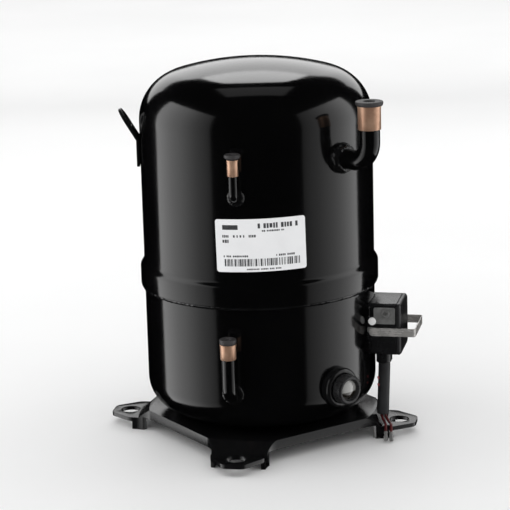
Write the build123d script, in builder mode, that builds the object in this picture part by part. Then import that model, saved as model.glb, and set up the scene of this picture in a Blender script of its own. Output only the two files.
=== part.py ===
from build123d import *
import math
import os

# Hermetic scroll compressor, millimetres, +Z up, origin on the shell's axis at floor level.
# The mounting holes stand on the diagonals of the X and Y axes. Azimuths are in degrees about Z:
# azimuth 0 points to -Y and azimuth 90 to +X.

os.makedirs("parts", exist_ok=True)

# ---------------------------------------------------------------- fits and clearances
RUNNING_FIT = 0.05       # radial clearance of a journal in its bush
SEAT_FIT = 0.05          # radial clearance left where a piece is pressed or brazed in
LOOSE_GAP = 0.3          # between pieces that only lie near each other
SMALL = 1.0              # overshoot of a cutting tool past the face it cuts

# ---------------------------------------------------------------- welded shell
SHELL_RADIUS = 111.0
SHELL_WALL = 3.5
SHELL_TOP = 365.0
DOME_CROWN = 280.0
DOME_KNUCKLE = 47.0
CUP_POLE = 14.0
CUP_CROWN = 300.0
CUP_KNUCKLE = 32.0
BELL_BOTTOM = 151.0
BELL_HEIGHT = 17.0
BELL_SHOULDER = 8.0
LAP_GAP = 0.2
SEAM_WELD = 3.6
SHELL_INNER = SHELL_RADIUS - SHELL_WALL
BELL_INNER = SHELL_RADIUS + LAP_GAP
BELL_OUTER = BELL_INNER + SHELL_WALL
BELL_TOP = BELL_BOTTOM + BELL_HEIGHT

# ---------------------------------------------------------------- mounting base
HOLE_SPACING = 190.5
HOLE_RADIUS = 9.5
BASE_TOP = 22.0
BASE_PLATE = 4.0
BASE_HALF = SHELL_RADIUS - 12.0
EAR_TOP = 12.0
EAR_HALF_WIDTH = 26.0
EAR_TIP_HALF = 10.0
EAR_REACH = 17.0
FLANGE_WALL = 4.0
FLANGE_DROP = 9.0
HOLE_CIRCLE = HOLE_SPACING / math.sqrt(2)
EAR_TIP = HOLE_CIRCLE + EAR_REACH
EAR_FLANGE_END = HOLE_CIRCLE - 5.0
EAR_DIRECTIONS = (45, 135, 225, 315)

# ---------------------------------------------------------------- service tubes
STUB_INNER_END = SHELL_INNER - 3.5
PROCESS = {"azimuth": -44.0, "height": 254.0, "reach": 12.5, "tube": 3.97, "wall": 0.9, "bend": 8.0,
           "socket": 276.4, "rim": 291.6, "collar": 8.4, "collar_length": 3.2}
DISCHARGE = {"azimuth": -48.0, "height": 67.0, "reach": 14.0, "tube": 6.35, "wall": 1.1, "bend": 11.0,
             "socket": 105.0, "rim": 119.4, "collar": 10.5, "collar_length": 2.8}
SUCTION = {"azimuth": 10.5, "height": 282.4, "reach": 36.0, "tube": 9.525, "wall": 1.4, "bend": 19.0,
           "socket": 313.0, "rim": 334.7, "collar": 14.5, "collar_length": 8.0}
SOCKET_WALL = 1.0
SOCKET_LAP = 6.0

# ---------------------------------------------------------------- sight glass
GLASS_AZIMUTH = 5.8
GLASS_HEIGHT = 65.0
GLASS_BOSS_RADIUS = 19.0
GLASS_BOSS_REACH = 8.0
GLASS_RING_RADIUS = 14.0
GLASS_REACH = 18.0
GLASS_RADIUS = 9.0

# ---------------------------------------------------------------- nameplate and lifting lug
LABEL_AZIMUTH = -32.7
LABEL_WIDTH = 84.0
LABEL_HEIGHT = 49.5
LABEL_CENTRE = 209.5
LABEL_THICKNESS = 0.3
LABEL_TILT = 1.0
LUG_AZIMUTH = -123.0
LUG_FOOT = 266.0
LUG_BEND = 292.0
LUG_TIP = 321.0
LUG_LEAN = 17.0
LUG_WIDTH = 26.0
LUG_THICKNESS = 3.0
LUG_HOLE = 6.5

# ---------------------------------------------------------------- terminal box
BOX_AZIMUTH = 44.0
BOX_CENTRE = 108.7
BOX_HALF_WIDTH = 25.0
BOX_HALF_HEIGHT = 25.3
BOX_FACE = 136.3
BOX_WALL = 2.2
BOX_CORNER = 6.0
COVER_RIM = 4.2
COVER_DOME = 7.5
COVER_DOME_RADIUS = 22.5
COVER_CROWN = 45.0
COVER_KNUCKLE = 7.0
COVER_CHAMFER = 1.8
CLIP_WIDTH = 8.0
CLIP_THICKNESS = 0.8
CLIP_PIVOT = 114.5
CLIP_BAR = 151.0
CLIP_HEIGHT = 107.0
GLAND_RADIAL = 122.0
GLAND_SIDE = -6.0
GLAND_LENGTH = 10.0
SLEEVE_RADIUS = 5.7
SLEEVE_WALL = 0.8
SLEEVE_BOTTOM = 21.0
SLEEVE_LEAN = (-1.5, -2.5)
PLUG_RADIUS = 20.0
PIN_CIRCLE = 8.0
TERMINAL_PIN = 1.6
BRACKET_MIDDLE = 125.4
BRACKET_HEIGHT = 123.0
BRACKET_LENGTH = 20.4
BRACKET_DEPTH = 16.0
BRACKET_THICKNESS = 1.0
EARTH_SCREW_RADIAL = 126.5
EARTH_SCREW_HEIGHT = 125.5
EARTH_SCREW_HEAD = 4.0
EARTH_SCREW_SHANK = 1.9
STUD_HEIGHTS = (94.0, 128.0)
STUD_RADIUS = 4.5
STUD_LENGTH = 7.5

# ---------------------------------------------------------------- motor leads
# Route points are (outward from the axis, sideways from the box's middle, height).
LEAD_RADIUS = 1.3
CONNECTOR_RADIUS = 2.1
CONNECTOR_LENGTH = 9.0
LEAD_ROUTES = {
    "motor_lead_1": [(122.4, -7.8, 38.0), (122.0, -8.4, 20.5), (126.0, -13.5, 15.0), (130.0, -21.0, 14.2),
                     (131.4, -28.6, 14.6), (131.8, -31.6, 9.5)],
    "motor_lead_2": [(119.4, -7.6, 38.0), (118.9, -8.8, 21.5), (120.6, -14.5, 17.6), (124.4, -21.6, 15.6),
                     (126.2, -29.0, 15.2), (126.6, -32.0, 10.0)],
}

# ---------------------------------------------------------------- motor
SHAFT_RADIUS = 12.5
LOWER_JOURNAL = 9.0
STATOR_BOTTOM = 105.0
STATOR_HEIGHT = 80.0
STATOR_RADIUS = SHELL_INNER - 25.5
AIR_GAP = 0.5
ROTOR_RADIUS = 43.5
SLOT_COUNT = 24
SLOT_WIDTH = 6.0
END_TURN_HEIGHT = 19.0
END_TURN_INNER = 49.0
YOKE = 10.0
STATOR_TOP = STATOR_BOTTOM + STATOR_HEIGHT
END_TURN_OUTER = STATOR_RADIUS - YOKE
STATOR_BOLT_CIRCLE = STATOR_RADIUS - YOKE / 2
STATOR_BOLT = 2.5

# ---------------------------------------------------------------- running gear
WRAP_PITCH = 16.2
WRAP_WALL = 3.5
WRAP_HEIGHT = 28.0
WRAP_HALF_TURNS = 6
FLANK_GAP = 0.1
TIP_GAP = 0.3
PLATE_THICKNESS = 9.0
PLATE_LIFT = 0.05
SPIRAL_OFFSET = WRAP_PITCH / 4
ORBIT = WRAP_PITCH / 2 - WRAP_WALL - FLANK_GAP
FRAME_WEB = 10.0
FRAME_HUB = 26.0
FRAME_HUB_DROP = 8.0
FRAME_POCKET = 36.0
POCKET_DEPTH = 24.0
RECESS_DEPTH = 6.5
RIM_RISE = 4.0
RIM_WALL = 10.0
FIXED_PLATE = 13.0
WEB_BOTTOM = STATOR_TOP + END_TURN_HEIGHT + 8.0
POCKET_FLOOR = WEB_BOTTOM + FRAME_WEB
THRUST_TOP = POCKET_FLOOR + POCKET_DEPTH
RECESS_FLOOR = THRUST_TOP - RECESS_DEPTH
RIM_TOP = THRUST_TOP + RIM_RISE
PLATE_BOTTOM = THRUST_TOP + PLATE_LIFT
PLATE_TOP = PLATE_BOTTOM + PLATE_THICKNESS
FIXED_UNDERSIDE = PLATE_TOP + WRAP_HEIGHT
FIXED_TOP = FIXED_UNDERSIDE + FIXED_PLATE
FIXED_RADIUS = SHELL_INNER - 9.5
PLATE_RADIUS = FIXED_RADIUS - RIM_WALL - ORBIT - 3.5
WRAP_OUTER = SPIRAL_OFFSET * 2 * WRAP_HALF_TURNS + SPIRAL_OFFSET + WRAP_WALL / 2
CHAMBER_RADIUS = WRAP_OUTER + ORBIT + 3.0
OLDHAM_OUTER = PLATE_RADIUS - 3.0
OLDHAM_INNER = OLDHAM_OUTER - 11.0
OLDHAM_KEY = 10.0
KEY_GAP = 0.1
KEY_LENGTH = 5.0
PIN_RADIUS = 8.0
BUSH_RADIUS = 11.0
ORBIT_BEARING = 14.0
HUB_RADIUS = 20.0
MAIN_BEARING = 16.0
WASHER_THICKNESS = 2.0
WASHER_OUTER = 30.0
SCROLL_BOLTS = 6
SCROLL_BOLT = 3.0
PORT_RADIUS = 4.5
PORT_PLACE = (-SPIRAL_OFFSET, -1.0)
VALVE_RADIUS = 8.0
VALVE_LIFT = 2.0
MUFFLER_RADIUS = 58.0
MUFFLER_HEIGHT = 24.0
MUFFLER_WALL = 2.0
LINE_RADIUS = 4.75
LINE_REACH = SHELL_INNER - 7.5
LOWER_PLATE_BOTTOM = 77.0
LOWER_PLATE = 5.0
SUMP_CLEARANCE = 12.0
LINE_BEND = 15.0
BOLT_BITE = 20.0
SEAL_GROOVE = 1.6
SEAL_DEPTH = 1.5
OIL_WAY = 2.5
PICKUP_LENGTH = 24.0
ROTOR_BARS = 18
ROTOR_BAR_CIRCLE = 38.0
ROTOR_BAR = 2.5
END_RING = 6.0
WEIGHT_RADIUS = 36.0
WEIGHT_THICKNESS = 8.0
HUB_GROOVE = (42.0, 68.0)
HUB_GROOVE_DEPTH = 17.5
RIM_GROOVE = (84.0, 102.0)
RIM_GROOVE_DEPTH = 12.0
SCROLL_GROOVE = (70.0, 86.0)
SCROLL_GROOVE_DEPTH = 30.0
STATOR_BOLT_GRIP = 6.0
SCREW_HEAD_HEIGHT = 4.0
BEARING_WALL = 3.0
VALVE_THICKNESS = 1.5
RETAINER_PLATE = 2.5
MUFFLER_CORNER = 9.0
MUFFLER_FLANGE = 6.0


# ---------------------------------------------------------------- helpers
def outward(azimuth):
    """Unit vector that points out of the shell at an azimuth."""
    angle = math.radians(azimuth)
    return Vector(math.sin(angle), -math.cos(angle), 0)


def sideways(azimuth):
    """Unit vector along the shell's surface at an azimuth, anticlockwise from above."""
    angle = math.radians(azimuth)
    return Vector(math.cos(angle), math.sin(angle), 0)


def standing_plane(azimuth):
    """Upright plane through the axis: x is outward and y is up."""
    return Plane(origin=(0, 0, 0), x_dir=outward(azimuth), z_dir=-sideways(azimuth))


def facing_plane(azimuth, distance, height):
    """Plane that faces outward: x is sideways, y is up and z is outward."""
    origin = outward(azimuth) * distance + Vector(0, 0, height)
    return Plane(origin=origin, x_dir=sideways(azimuth), z_dir=outward(azimuth))


def level_plane(azimuth, height):
    """Level plane at a height: x is outward and y is sideways."""
    return Plane(origin=(0, 0, height), x_dir=outward(azimuth), z_dir=(0, 0, 1))


def dished_end(radius, crown, knuckle, pole, side):
    """Places on a dished end: straight edge, knuckle middle, tangent point, crown middle, pole."""
    crown_centre = pole - side * crown
    rise = math.sqrt((crown - knuckle) ** 2 - (radius - knuckle) ** 2)
    knuckle_centre = crown_centre + side * rise
    lean = math.atan2(radius - knuckle, rise)
    middle = (lean + math.pi / 2) / 2
    edge = (radius, knuckle_centre)
    knuckle_middle = (radius - knuckle + knuckle * math.sin(middle),
                      knuckle_centre + side * knuckle * math.cos(middle))
    tangent = (crown * math.sin(lean), crown_centre + side * crown * math.cos(lean))
    crown_middle = (crown * math.sin(lean / 2), crown_centre + side * crown * math.cos(lean / 2))
    return edge, knuckle_middle, tangent, crown_middle, (0, pole)


def draw_dished_end(places):
    """Draw a dished end's two arcs in the line that is being built."""
    edge, knuckle_middle, tangent, crown_middle, pole = places
    ThreePointArc(edge, knuckle_middle, tangent)
    ThreePointArc(tangent, crown_middle, pole)


def draw_scroll_wall(wall, first, last):
    """Draw a scroll wall's outline as half circles about two centres, growing outwards."""
    for face in (-1, 1):
        for turn in range(first, last):
            side = 1 if turn % 2 == 0 else -1
            centre = -side * SPIRAL_OFFSET
            radius = 2 * SPIRAL_OFFSET * (turn + 1) + face * wall / 2
            start = (centre + side * radius, 0)
            end = (centre - side * radius, 0)
            ThreePointArc(start, (centre, side * radius), end)
    for turn, side_of_turn in ((first, 1), (last - 1, -1)):
        side = 1 if turn % 2 == 0 else -1
        centre = -side * SPIRAL_OFFSET
        radius = 2 * SPIRAL_OFFSET * (turn + 1)
        inner = centre + side_of_turn * side * (radius - wall / 2)
        outer = centre + side_of_turn * side * (radius + wall / 2)
        Line((inner, 0), (outer, 0))


def turned(points, plane=Plane.XZ, axis=Axis.Z):
    """A solid turned from a closed profile of (radius, height) points."""
    with BuildPart() as body:
        with BuildSketch(plane):
            with BuildLine():
                Polyline(*points, close=True)
            make_face()
        revolve(axis=axis)
    return body.part


def ring(inner, outer, bottom, top):
    """A plain ring about the shell's axis."""
    return turned([(inner, bottom), (outer, bottom), (outer, top), (inner, top)])


def turned_outward(points, azimuth, height):
    """A solid turned about an outward line: points are (distance from the shell's axis, radius)."""
    plane = standing_plane(azimuth)
    raised = Plane(origin=(0, 0, height), x_dir=plane.x_dir, z_dir=plane.z_dir)
    with BuildPart() as body:
        with BuildSketch(raised):
            with BuildLine():
                Polyline(*points, close=True)
            make_face()
        revolve(axis=Axis(raised.origin, raised.x_dir))
    return body.part


def service_tube(stub):
    """A bent steel tube that leaves the shell level and turns up."""
    axis_radius = SHELL_RADIUS + stub["reach"]
    with BuildPart() as tube:
        with BuildLine(standing_plane(stub["azimuth"])) as route:
            FilletPolyline((STUB_INNER_END, stub["height"]), (axis_radius, stub["height"]),
                           (axis_radius, stub["socket"] + SOCKET_LAP), radius=stub["bend"])
        with BuildSketch(facing_plane(stub["azimuth"], STUB_INNER_END, stub["height"])):
            Circle(stub["tube"])
            Circle(stub["tube"] - stub["wall"], mode=Mode.SUBTRACT)
        sweep(path=route.line)
    return tube.part


def copper_socket(stub):
    """A copper coupling over the tube's end: its upper half takes the line."""
    place = outward(stub["azimuth"]) * (SHELL_RADIUS + stub["reach"])
    bore = stub["tube"] + SEAT_FIT
    rim = stub["rim"]
    flare = SOCKET_WALL * 0.4
    with BuildPart() as socket:
        with BuildSketch(Plane(origin=place, x_dir=(1, 0, 0), z_dir=(0, -1, 0))):
            with BuildLine():
                Polyline((bore, stub["socket"]), (bore + SOCKET_WALL, stub["socket"]),
                         (bore + SOCKET_WALL, rim - SOCKET_WALL), (bore + SOCKET_WALL + flare, rim),
                         (bore + flare, rim), (bore, rim - SOCKET_WALL), close=True)
            make_face()
        revolve(axis=Axis(place, (0, 0, 1)))
    return socket.part


def weld_collar(stub):
    """A fillet of weld or braze round a tube where it leaves the shell."""
    bore = stub["tube"] + SEAT_FIT
    start = SHELL_RADIUS - SHELL_WALL / 2
    tip = SHELL_RADIUS + stub["collar_length"]
    collar = turned_outward([(start, bore), (tip, bore), (tip, bore + SMALL),
                             (SHELL_RADIUS + SMALL, stub["collar"]), (start, stub["collar"])],
                            stub["azimuth"], stub["height"])
    with BuildPart() as trimmed:
        add(collar)
        with BuildSketch(Plane.XY.offset(stub["height"] - 2 * stub["collar"])):
            Circle(SHELL_RADIUS)
        extrude(amount=4 * stub["collar"], mode=Mode.SUBTRACT)
    return trimmed.part


def rubber_cap(stub, flange, flange_thickness, plug_depth, dimple, skirt=0.0):
    """A moulded plug for a tube's mouth: a flange, a plug below it and a dimple on top."""
    place = outward(stub["azimuth"]) * (SHELL_RADIUS + stub["reach"])
    rim = stub["rim"] + LOOSE_GAP / 3
    plug = stub["tube"] + SEAT_FIT - LOOSE_GAP
    crown = rim + flange_thickness
    outline = [(0, rim - plug_depth), (plug - SMALL, rim - plug_depth), (plug, rim - plug_depth + SMALL),
               (plug, rim), (flange - skirt, rim), (flange, rim + flange_thickness / 2),
               (flange - SMALL / 2, crown), (dimple + SMALL, crown), (dimple, crown - SMALL / 2),
               (dimple * 0.7, crown - 2 * SMALL), (0, crown - 2 * SMALL)]
    with BuildPart() as cap:
        with BuildSketch(Plane(origin=place, x_dir=(1, 0, 0), z_dir=(0, -1, 0))):
            with BuildLine():
                Polyline(*outline, close=True)
            make_face()
        revolve(axis=Axis(place, (0, 0, 1)))
    return cap.part


def radial_cutter(azimuth, height, radius, start, end):
    """A round bar along an outward line, for cutting a hole through the shell."""
    with BuildPart() as cutter:
        with BuildSketch(facing_plane(azimuth, start, height)):
            Circle(radius)
        extrude(amount=end - start)
    return cutter.part


def box_place(radial, side, height):
    """A place given outward from the axis, sideways from the terminal box's middle, and up."""
    return outward(BOX_AZIMUTH) * radial + sideways(BOX_AZIMUTH) * side + Vector(0, 0, height)


def cord_radii(points):
    """Bend radius at each corner of a route, as large as its two runs allow."""
    radii = []
    for before, corner, after in zip(points, points[1:], points[2:]):
        turn = math.radians((corner - before).get_angle(after - corner))
        shorter = min((corner - before).length, (after - corner).length)
        radii.append(0.45 * shorter / math.tan(turn / 2))
    return radii


# ---------------------------------------------------------------- shell
outer_dome = dished_end(SHELL_RADIUS, DOME_CROWN, DOME_KNUCKLE, SHELL_TOP, 1)
inner_dome = dished_end(SHELL_INNER, DOME_CROWN - SHELL_WALL, DOME_KNUCKLE - SHELL_WALL,
                        SHELL_TOP - SHELL_WALL, 1)
shoulder_top = BELL_TOP + BELL_SHOULDER
half_shoulder = BELL_SHOULDER / 2
with BuildPart() as upper_shell:
    with BuildSketch(Plane.XZ):
        with BuildLine():
            draw_dished_end(outer_dome)
            Line((SHELL_RADIUS, shoulder_top), outer_dome[0])
            Bezier((SHELL_RADIUS, shoulder_top), (SHELL_RADIUS, shoulder_top - half_shoulder),
                   (BELL_OUTER, BELL_TOP + half_shoulder), (BELL_OUTER, BELL_TOP))
            Polyline((BELL_OUTER, BELL_TOP), (BELL_OUTER, BELL_BOTTOM), (BELL_INNER, BELL_BOTTOM),
                     (BELL_INNER, BELL_TOP))
            Bezier((BELL_INNER, BELL_TOP), (BELL_INNER, BELL_TOP + half_shoulder),
                   (SHELL_INNER, shoulder_top - half_shoulder), (SHELL_INNER, shoulder_top))
            Line((SHELL_INNER, shoulder_top), inner_dome[0])
            draw_dished_end(inner_dome)
            Line(inner_dome[4], outer_dome[4])
        make_face()
    revolve(axis=Axis.Z)
    for stub in (PROCESS, SUCTION):
        add(radial_cutter(stub["azimuth"], stub["height"], stub["tube"] + SEAT_FIT, STUB_INNER_END,
                          SHELL_RADIUS + SMALL), mode=Mode.SUBTRACT)
upper_shell.part.label = "upper_shell"
export_step(upper_shell.part, "parts/upper_shell.step")

outer_cup = dished_end(SHELL_RADIUS, CUP_CROWN, CUP_KNUCKLE, CUP_POLE, -1)
inner_cup = dished_end(SHELL_INNER, CUP_CROWN - SHELL_WALL, CUP_KNUCKLE - SHELL_WALL,
                       CUP_POLE + SHELL_WALL, -1)
cup_top = BELL_TOP - SHELL_WALL
with BuildPart() as lower_shell:
    with BuildSketch(Plane.XZ):
        with BuildLine():
            draw_dished_end(outer_cup)
            Polyline(outer_cup[0], (SHELL_RADIUS, cup_top), (SHELL_INNER, cup_top), inner_cup[0])
            draw_dished_end(inner_cup)
            Line(inner_cup[4], outer_cup[4])
        make_face()
    revolve(axis=Axis.Z)
    add(radial_cutter(DISCHARGE["azimuth"], DISCHARGE["height"], DISCHARGE["tube"] + SEAT_FIT,
                      STUB_INNER_END, SHELL_RADIUS + SMALL), mode=Mode.SUBTRACT)
    add(radial_cutter(GLASS_AZIMUTH, GLASS_HEIGHT, GLASS_RADIUS + 3 + SEAT_FIT, STUB_INNER_END,
                      SHELL_RADIUS + SMALL), mode=Mode.SUBTRACT)
    add(radial_cutter(BOX_AZIMUTH, BOX_CENTRE, PLUG_RADIUS - 2, STUB_INNER_END,
                      SHELL_RADIUS + SMALL), mode=Mode.SUBTRACT)
lower_shell.part.label = "lower_shell"
export_step(lower_shell.part, "parts/lower_shell.step")

with BuildPart() as seam_weld:
    with BuildSketch(Plane.XZ):
        with BuildLine():
            Line((SHELL_RADIUS, BELL_BOTTOM), (BELL_OUTER - LAP_GAP, BELL_BOTTOM))
            ThreePointArc((BELL_OUTER - LAP_GAP, BELL_BOTTOM),
                          (SHELL_RADIUS + 0.72 * SEAM_WELD, BELL_BOTTOM - 0.62 * SEAM_WELD),
                          (SHELL_RADIUS, BELL_BOTTOM - SEAM_WELD))
            Line((SHELL_RADIUS, BELL_BOTTOM - SEAM_WELD), (SHELL_RADIUS, BELL_BOTTOM))
        make_face()
    revolve(axis=Axis.Z)
seam_weld.part.label = "seam_weld"
export_step(seam_weld.part, "parts/seam_weld.step")

# ---------------------------------------------------------------- mounting base
dish_contact = math.sqrt(CUP_CROWN ** 2 - (CUP_CROWN - BASE_TOP + CUP_POLE) ** 2)
base_opening = dish_contact + LAP_GAP
step_start = SHELL_RADIUS + 1.0
step_end = HOLE_CIRCLE - HOLE_RADIUS - 2.0
with BuildSketch() as ear_outline:
    with BuildLine():
        Polyline((BASE_HALF / 2, -EAR_HALF_WIDTH), (EAR_FLANGE_END, -EAR_HALF_WIDTH),
                 (EAR_TIP, -EAR_TIP_HALF), (EAR_TIP, EAR_TIP_HALF),
                 (EAR_FLANGE_END, EAR_HALF_WIDTH), (BASE_HALF / 2, EAR_HALF_WIDTH), close=True)
    make_face()
with BuildSketch() as base_outline:
    Rectangle(2 * BASE_HALF, 2 * BASE_HALF)
    for ear_direction in EAR_DIRECTIONS:
        add(ear_outline.sketch, rotation=ear_direction)
    tips = base_outline.vertices().filter_by(lambda v: math.hypot(v.X, v.Y) > EAR_TIP - SMALL)
    fillet(tips, radius=EAR_TIP_HALF * 0.8)
    roots = base_outline.vertices().filter_by(lambda v: math.hypot(v.X, v.Y) < SHELL_RADIUS + SMALL * 12)
    fillet(roots, radius=EAR_HALF_WIDTH)
    shoulders = base_outline.vertices().filter_by(
        lambda v: abs(math.hypot(v.X, v.Y) - math.hypot(EAR_FLANGE_END, EAR_HALF_WIDTH)) < SMALL)
    fillet(shoulders, radius=EAR_TIP_HALF)
with BuildSketch() as base_inner_outline:
    add(base_outline.sketch)
    offset(amount=-FLANGE_WALL, kind=Kind.INTERSECTION, mode=Mode.REPLACE)


def stepped_blank(outline, lower, floor):
    """The base outline filled up to the stepped top face, which is lowered by a plate thickness."""
    with BuildPart() as blank:
        with BuildSketch(Plane.XZ):
            with BuildLine():
                Polyline((0, floor), (EAR_TIP + EAR_REACH, floor), (EAR_TIP + EAR_REACH, EAR_TOP - lower),
                         (step_end, EAR_TOP - lower), (step_start, BASE_TOP - lower),
                         (0, BASE_TOP - lower), close=True)
            make_face()
        revolve(axis=Axis.Z)
        add(extrude(outline, amount=BASE_TOP + SMALL - floor, dir=(0, 0, 1), mode=Mode.PRIVATE)
            .moved(Location((0, 0, floor))), mode=Mode.INTERSECT)
    return blank.part


base_blank = stepped_blank(base_outline.sketch, 0, 0)
base_hollow = stepped_blank(base_inner_outline.sketch, BASE_PLATE, -SMALL)
tip_opening = ring(EAR_FLANGE_END, EAR_TIP + EAR_REACH, -SMALL, EAR_TOP - BASE_PLATE)
with BuildPart() as mounting_base:
    add(base_blank)
    add(base_hollow, mode=Mode.SUBTRACT)
    add(tip_opening, mode=Mode.SUBTRACT)
    side_length = 2 * (BASE_HALF - EAR_HALF_WIDTH * math.sqrt(2))
    with BuildSketch(Plane.XY.offset(-SMALL)):
        Rectangle(4 * BASE_HALF, side_length)
        Rectangle(side_length, 4 * BASE_HALF)
    extrude(amount=BASE_TOP - FLANGE_DROP + SMALL, mode=Mode.SUBTRACT)
    with BuildSketch(Plane.XY.offset(-SMALL)):
        Circle(base_opening)
        with GridLocations(HOLE_SPACING, HOLE_SPACING, 2, 2):
            Circle(HOLE_RADIUS)
    extrude(amount=BASE_TOP + 2 * SMALL, mode=Mode.SUBTRACT)
mounting_base.part.label = "mounting_base"
export_step(mounting_base.part, "parts/mounting_base.step")

# ---------------------------------------------------------------- service tubes
for stub_name, stub in (("process", PROCESS), ("discharge", DISCHARGE), ("suction", SUCTION)):
    tube = service_tube(stub)
    tube.label = f"{stub_name}_stub"
    export_step(tube, f"parts/{stub_name}_stub.step")
    socket = copper_socket(stub)
    socket.label = f"{stub_name}_copper_end"
    export_step(socket, f"parts/{stub_name}_copper_end.step")
    collar = weld_collar(stub)
    collar.label = f"{stub_name}_weld_collar"
    export_step(collar, f"parts/{stub_name}_weld_collar.step")

caps = {"suction": rubber_cap(SUCTION, flange=12.7, flange_thickness=6.4, plug_depth=9.0, dimple=5.2),
        "discharge": rubber_cap(DISCHARGE, flange=7.9, flange_thickness=6.4, plug_depth=7.0, dimple=2.4),
        "process": rubber_cap(PROCESS, flange=7.4, flange_thickness=5.8, plug_depth=6.0, dimple=1.9,
                              skirt=1.6)}
for cap_name, cap in caps.items():
    cap.label = f"{cap_name}_cap"
    export_step(cap, f"parts/{cap_name}_cap.step")

# ---------------------------------------------------------------- sight glass
boss_start = STUB_INNER_END + SMALL
boss_face = SHELL_RADIUS + GLASS_BOSS_REACH
glass_face = SHELL_RADIUS + GLASS_REACH
glass_bore = GLASS_RADIUS + 3.0
thread_radius = GLASS_RING_RADIUS - 3.4
with BuildPart() as sight_glass_boss:
    add(turned_outward([(SHELL_RADIUS - 10, thread_radius), (boss_face, thread_radius),
                        (boss_face, GLASS_BOSS_RADIUS - 3), (boss_face - 3, GLASS_BOSS_RADIUS),
                        (SHELL_RADIUS - 10, GLASS_BOSS_RADIUS)], GLASS_AZIMUTH, GLASS_HEIGHT))
    with BuildSketch(Plane.XY.offset(GLASS_HEIGHT - 2 * GLASS_BOSS_RADIUS)):
        Circle(SHELL_RADIUS)
    extrude(amount=4 * GLASS_BOSS_RADIUS, mode=Mode.SUBTRACT)
    add(turned_outward([(boss_start, thread_radius), (SHELL_RADIUS + SMALL, thread_radius),
                        (SHELL_RADIUS + SMALL, glass_bore), (boss_start, glass_bore)],
                       GLASS_AZIMUTH, GLASS_HEIGHT))
sight_glass_boss.part.label = "sight_glass_boss"
export_step(sight_glass_boss.part, "parts/sight_glass_boss.step")

lens_back = boss_face + 1.5
lens_face = glass_face - 2.0
sight_glass_fitting_part = turned_outward(
    [(boss_start, GLASS_RADIUS - 1.5), (lens_back, GLASS_RADIUS - 1.5), (lens_back, GLASS_RADIUS + SEAT_FIT),
     (lens_face, GLASS_RADIUS + SEAT_FIT), (glass_face, GLASS_RADIUS + 1.6),
     (glass_face, GLASS_RING_RADIUS - 1.5), (glass_face - 1.5, GLASS_RING_RADIUS),
     (boss_face + LAP_GAP, GLASS_RING_RADIUS), (boss_face + LAP_GAP, thread_radius - SEAT_FIT),
     (boss_start, thread_radius - SEAT_FIT)], GLASS_AZIMUTH, GLASS_HEIGHT)
sight_glass_fitting_part.label = "sight_glass_fitting"
export_step(sight_glass_fitting_part, "parts/sight_glass_fitting.step")

sight_glass_lens_part = turned_outward(
    [(lens_back + SEAT_FIT, 0), (lens_back + SEAT_FIT, GLASS_RADIUS - SEAT_FIT),
     (lens_face - SMALL, GLASS_RADIUS - SEAT_FIT), (lens_face, GLASS_RADIUS - SMALL), (lens_face, 0)],
    GLASS_AZIMUTH, GLASS_HEIGHT)
sight_glass_lens_part.label = "sight_glass_lens"
export_step(sight_glass_lens_part, "parts/sight_glass_lens.step")

# ---------------------------------------------------------------- nameplate and lifting lug
with BuildPart() as nameplate_label:
    add(ring(SHELL_RADIUS, SHELL_RADIUS + LABEL_THICKNESS, LABEL_CENTRE - LABEL_HEIGHT,
             LABEL_CENTRE + LABEL_HEIGHT))
    with BuildSketch(facing_plane(LABEL_AZIMUTH, SHELL_RADIUS / 2, LABEL_CENTRE)):
        RectangleRounded(LABEL_WIDTH, LABEL_HEIGHT, radius=2.5, rotation=LABEL_TILT)
    extrude(amount=SHELL_RADIUS, mode=Mode.INTERSECT)
nameplate_label.part.label = "nameplate_label"
export_step(nameplate_label.part, "parts/nameplate_label.step")

arm_angle = math.atan2(LUG_LEAN, LUG_TIP - LUG_BEND)
arm_length = math.hypot(LUG_LEAN, LUG_TIP - LUG_BEND)
with BuildPart() as lifting_lug:
    with BuildSketch(facing_plane(LUG_AZIMUTH, SHELL_RADIUS + SEAT_FIT, LUG_FOOT)):
        with Locations((0, (LUG_BEND - LUG_FOOT) / 2)):
            Rectangle(LUG_WIDTH, LUG_BEND - LUG_FOOT)
    extrude(amount=LUG_THICKNESS)
    bend_place = outward(LUG_AZIMUTH) * (SHELL_RADIUS + SEAT_FIT) + Vector(0, 0, LUG_BEND)
    arm_normal = outward(LUG_AZIMUTH) * math.cos(arm_angle) - Vector(0, 0, math.sin(arm_angle))
    with BuildSketch(Plane(origin=bend_place, x_dir=sideways(LUG_AZIMUTH), z_dir=arm_normal)):
        with Locations((0, (arm_length - LUG_WIDTH / 2) / 2)):
            Rectangle(LUG_WIDTH, arm_length - LUG_WIDTH / 2)
        with Locations((0, arm_length - LUG_WIDTH / 2)):
            Circle(LUG_WIDTH / 2)
            Circle(LUG_HOLE, mode=Mode.SUBTRACT)
    extrude(amount=LUG_THICKNESS)
    with BuildSketch(standing_plane(LUG_AZIMUTH)):
        with BuildLine():
            Polyline((SHELL_RADIUS + SEAT_FIT, LUG_BEND), (SHELL_RADIUS + SEAT_FIT + LUG_THICKNESS, LUG_BEND),
                     (SHELL_RADIUS + SEAT_FIT + LUG_THICKNESS * math.cos(arm_angle),
                      LUG_BEND - LUG_THICKNESS * math.sin(arm_angle)), close=True)
        make_face()
    extrude(amount=LUG_WIDTH / 2, both=True)
lifting_lug.part.label = "lifting_lug"
export_step(lifting_lug.part, "parts/lifting_lug.step")

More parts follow.
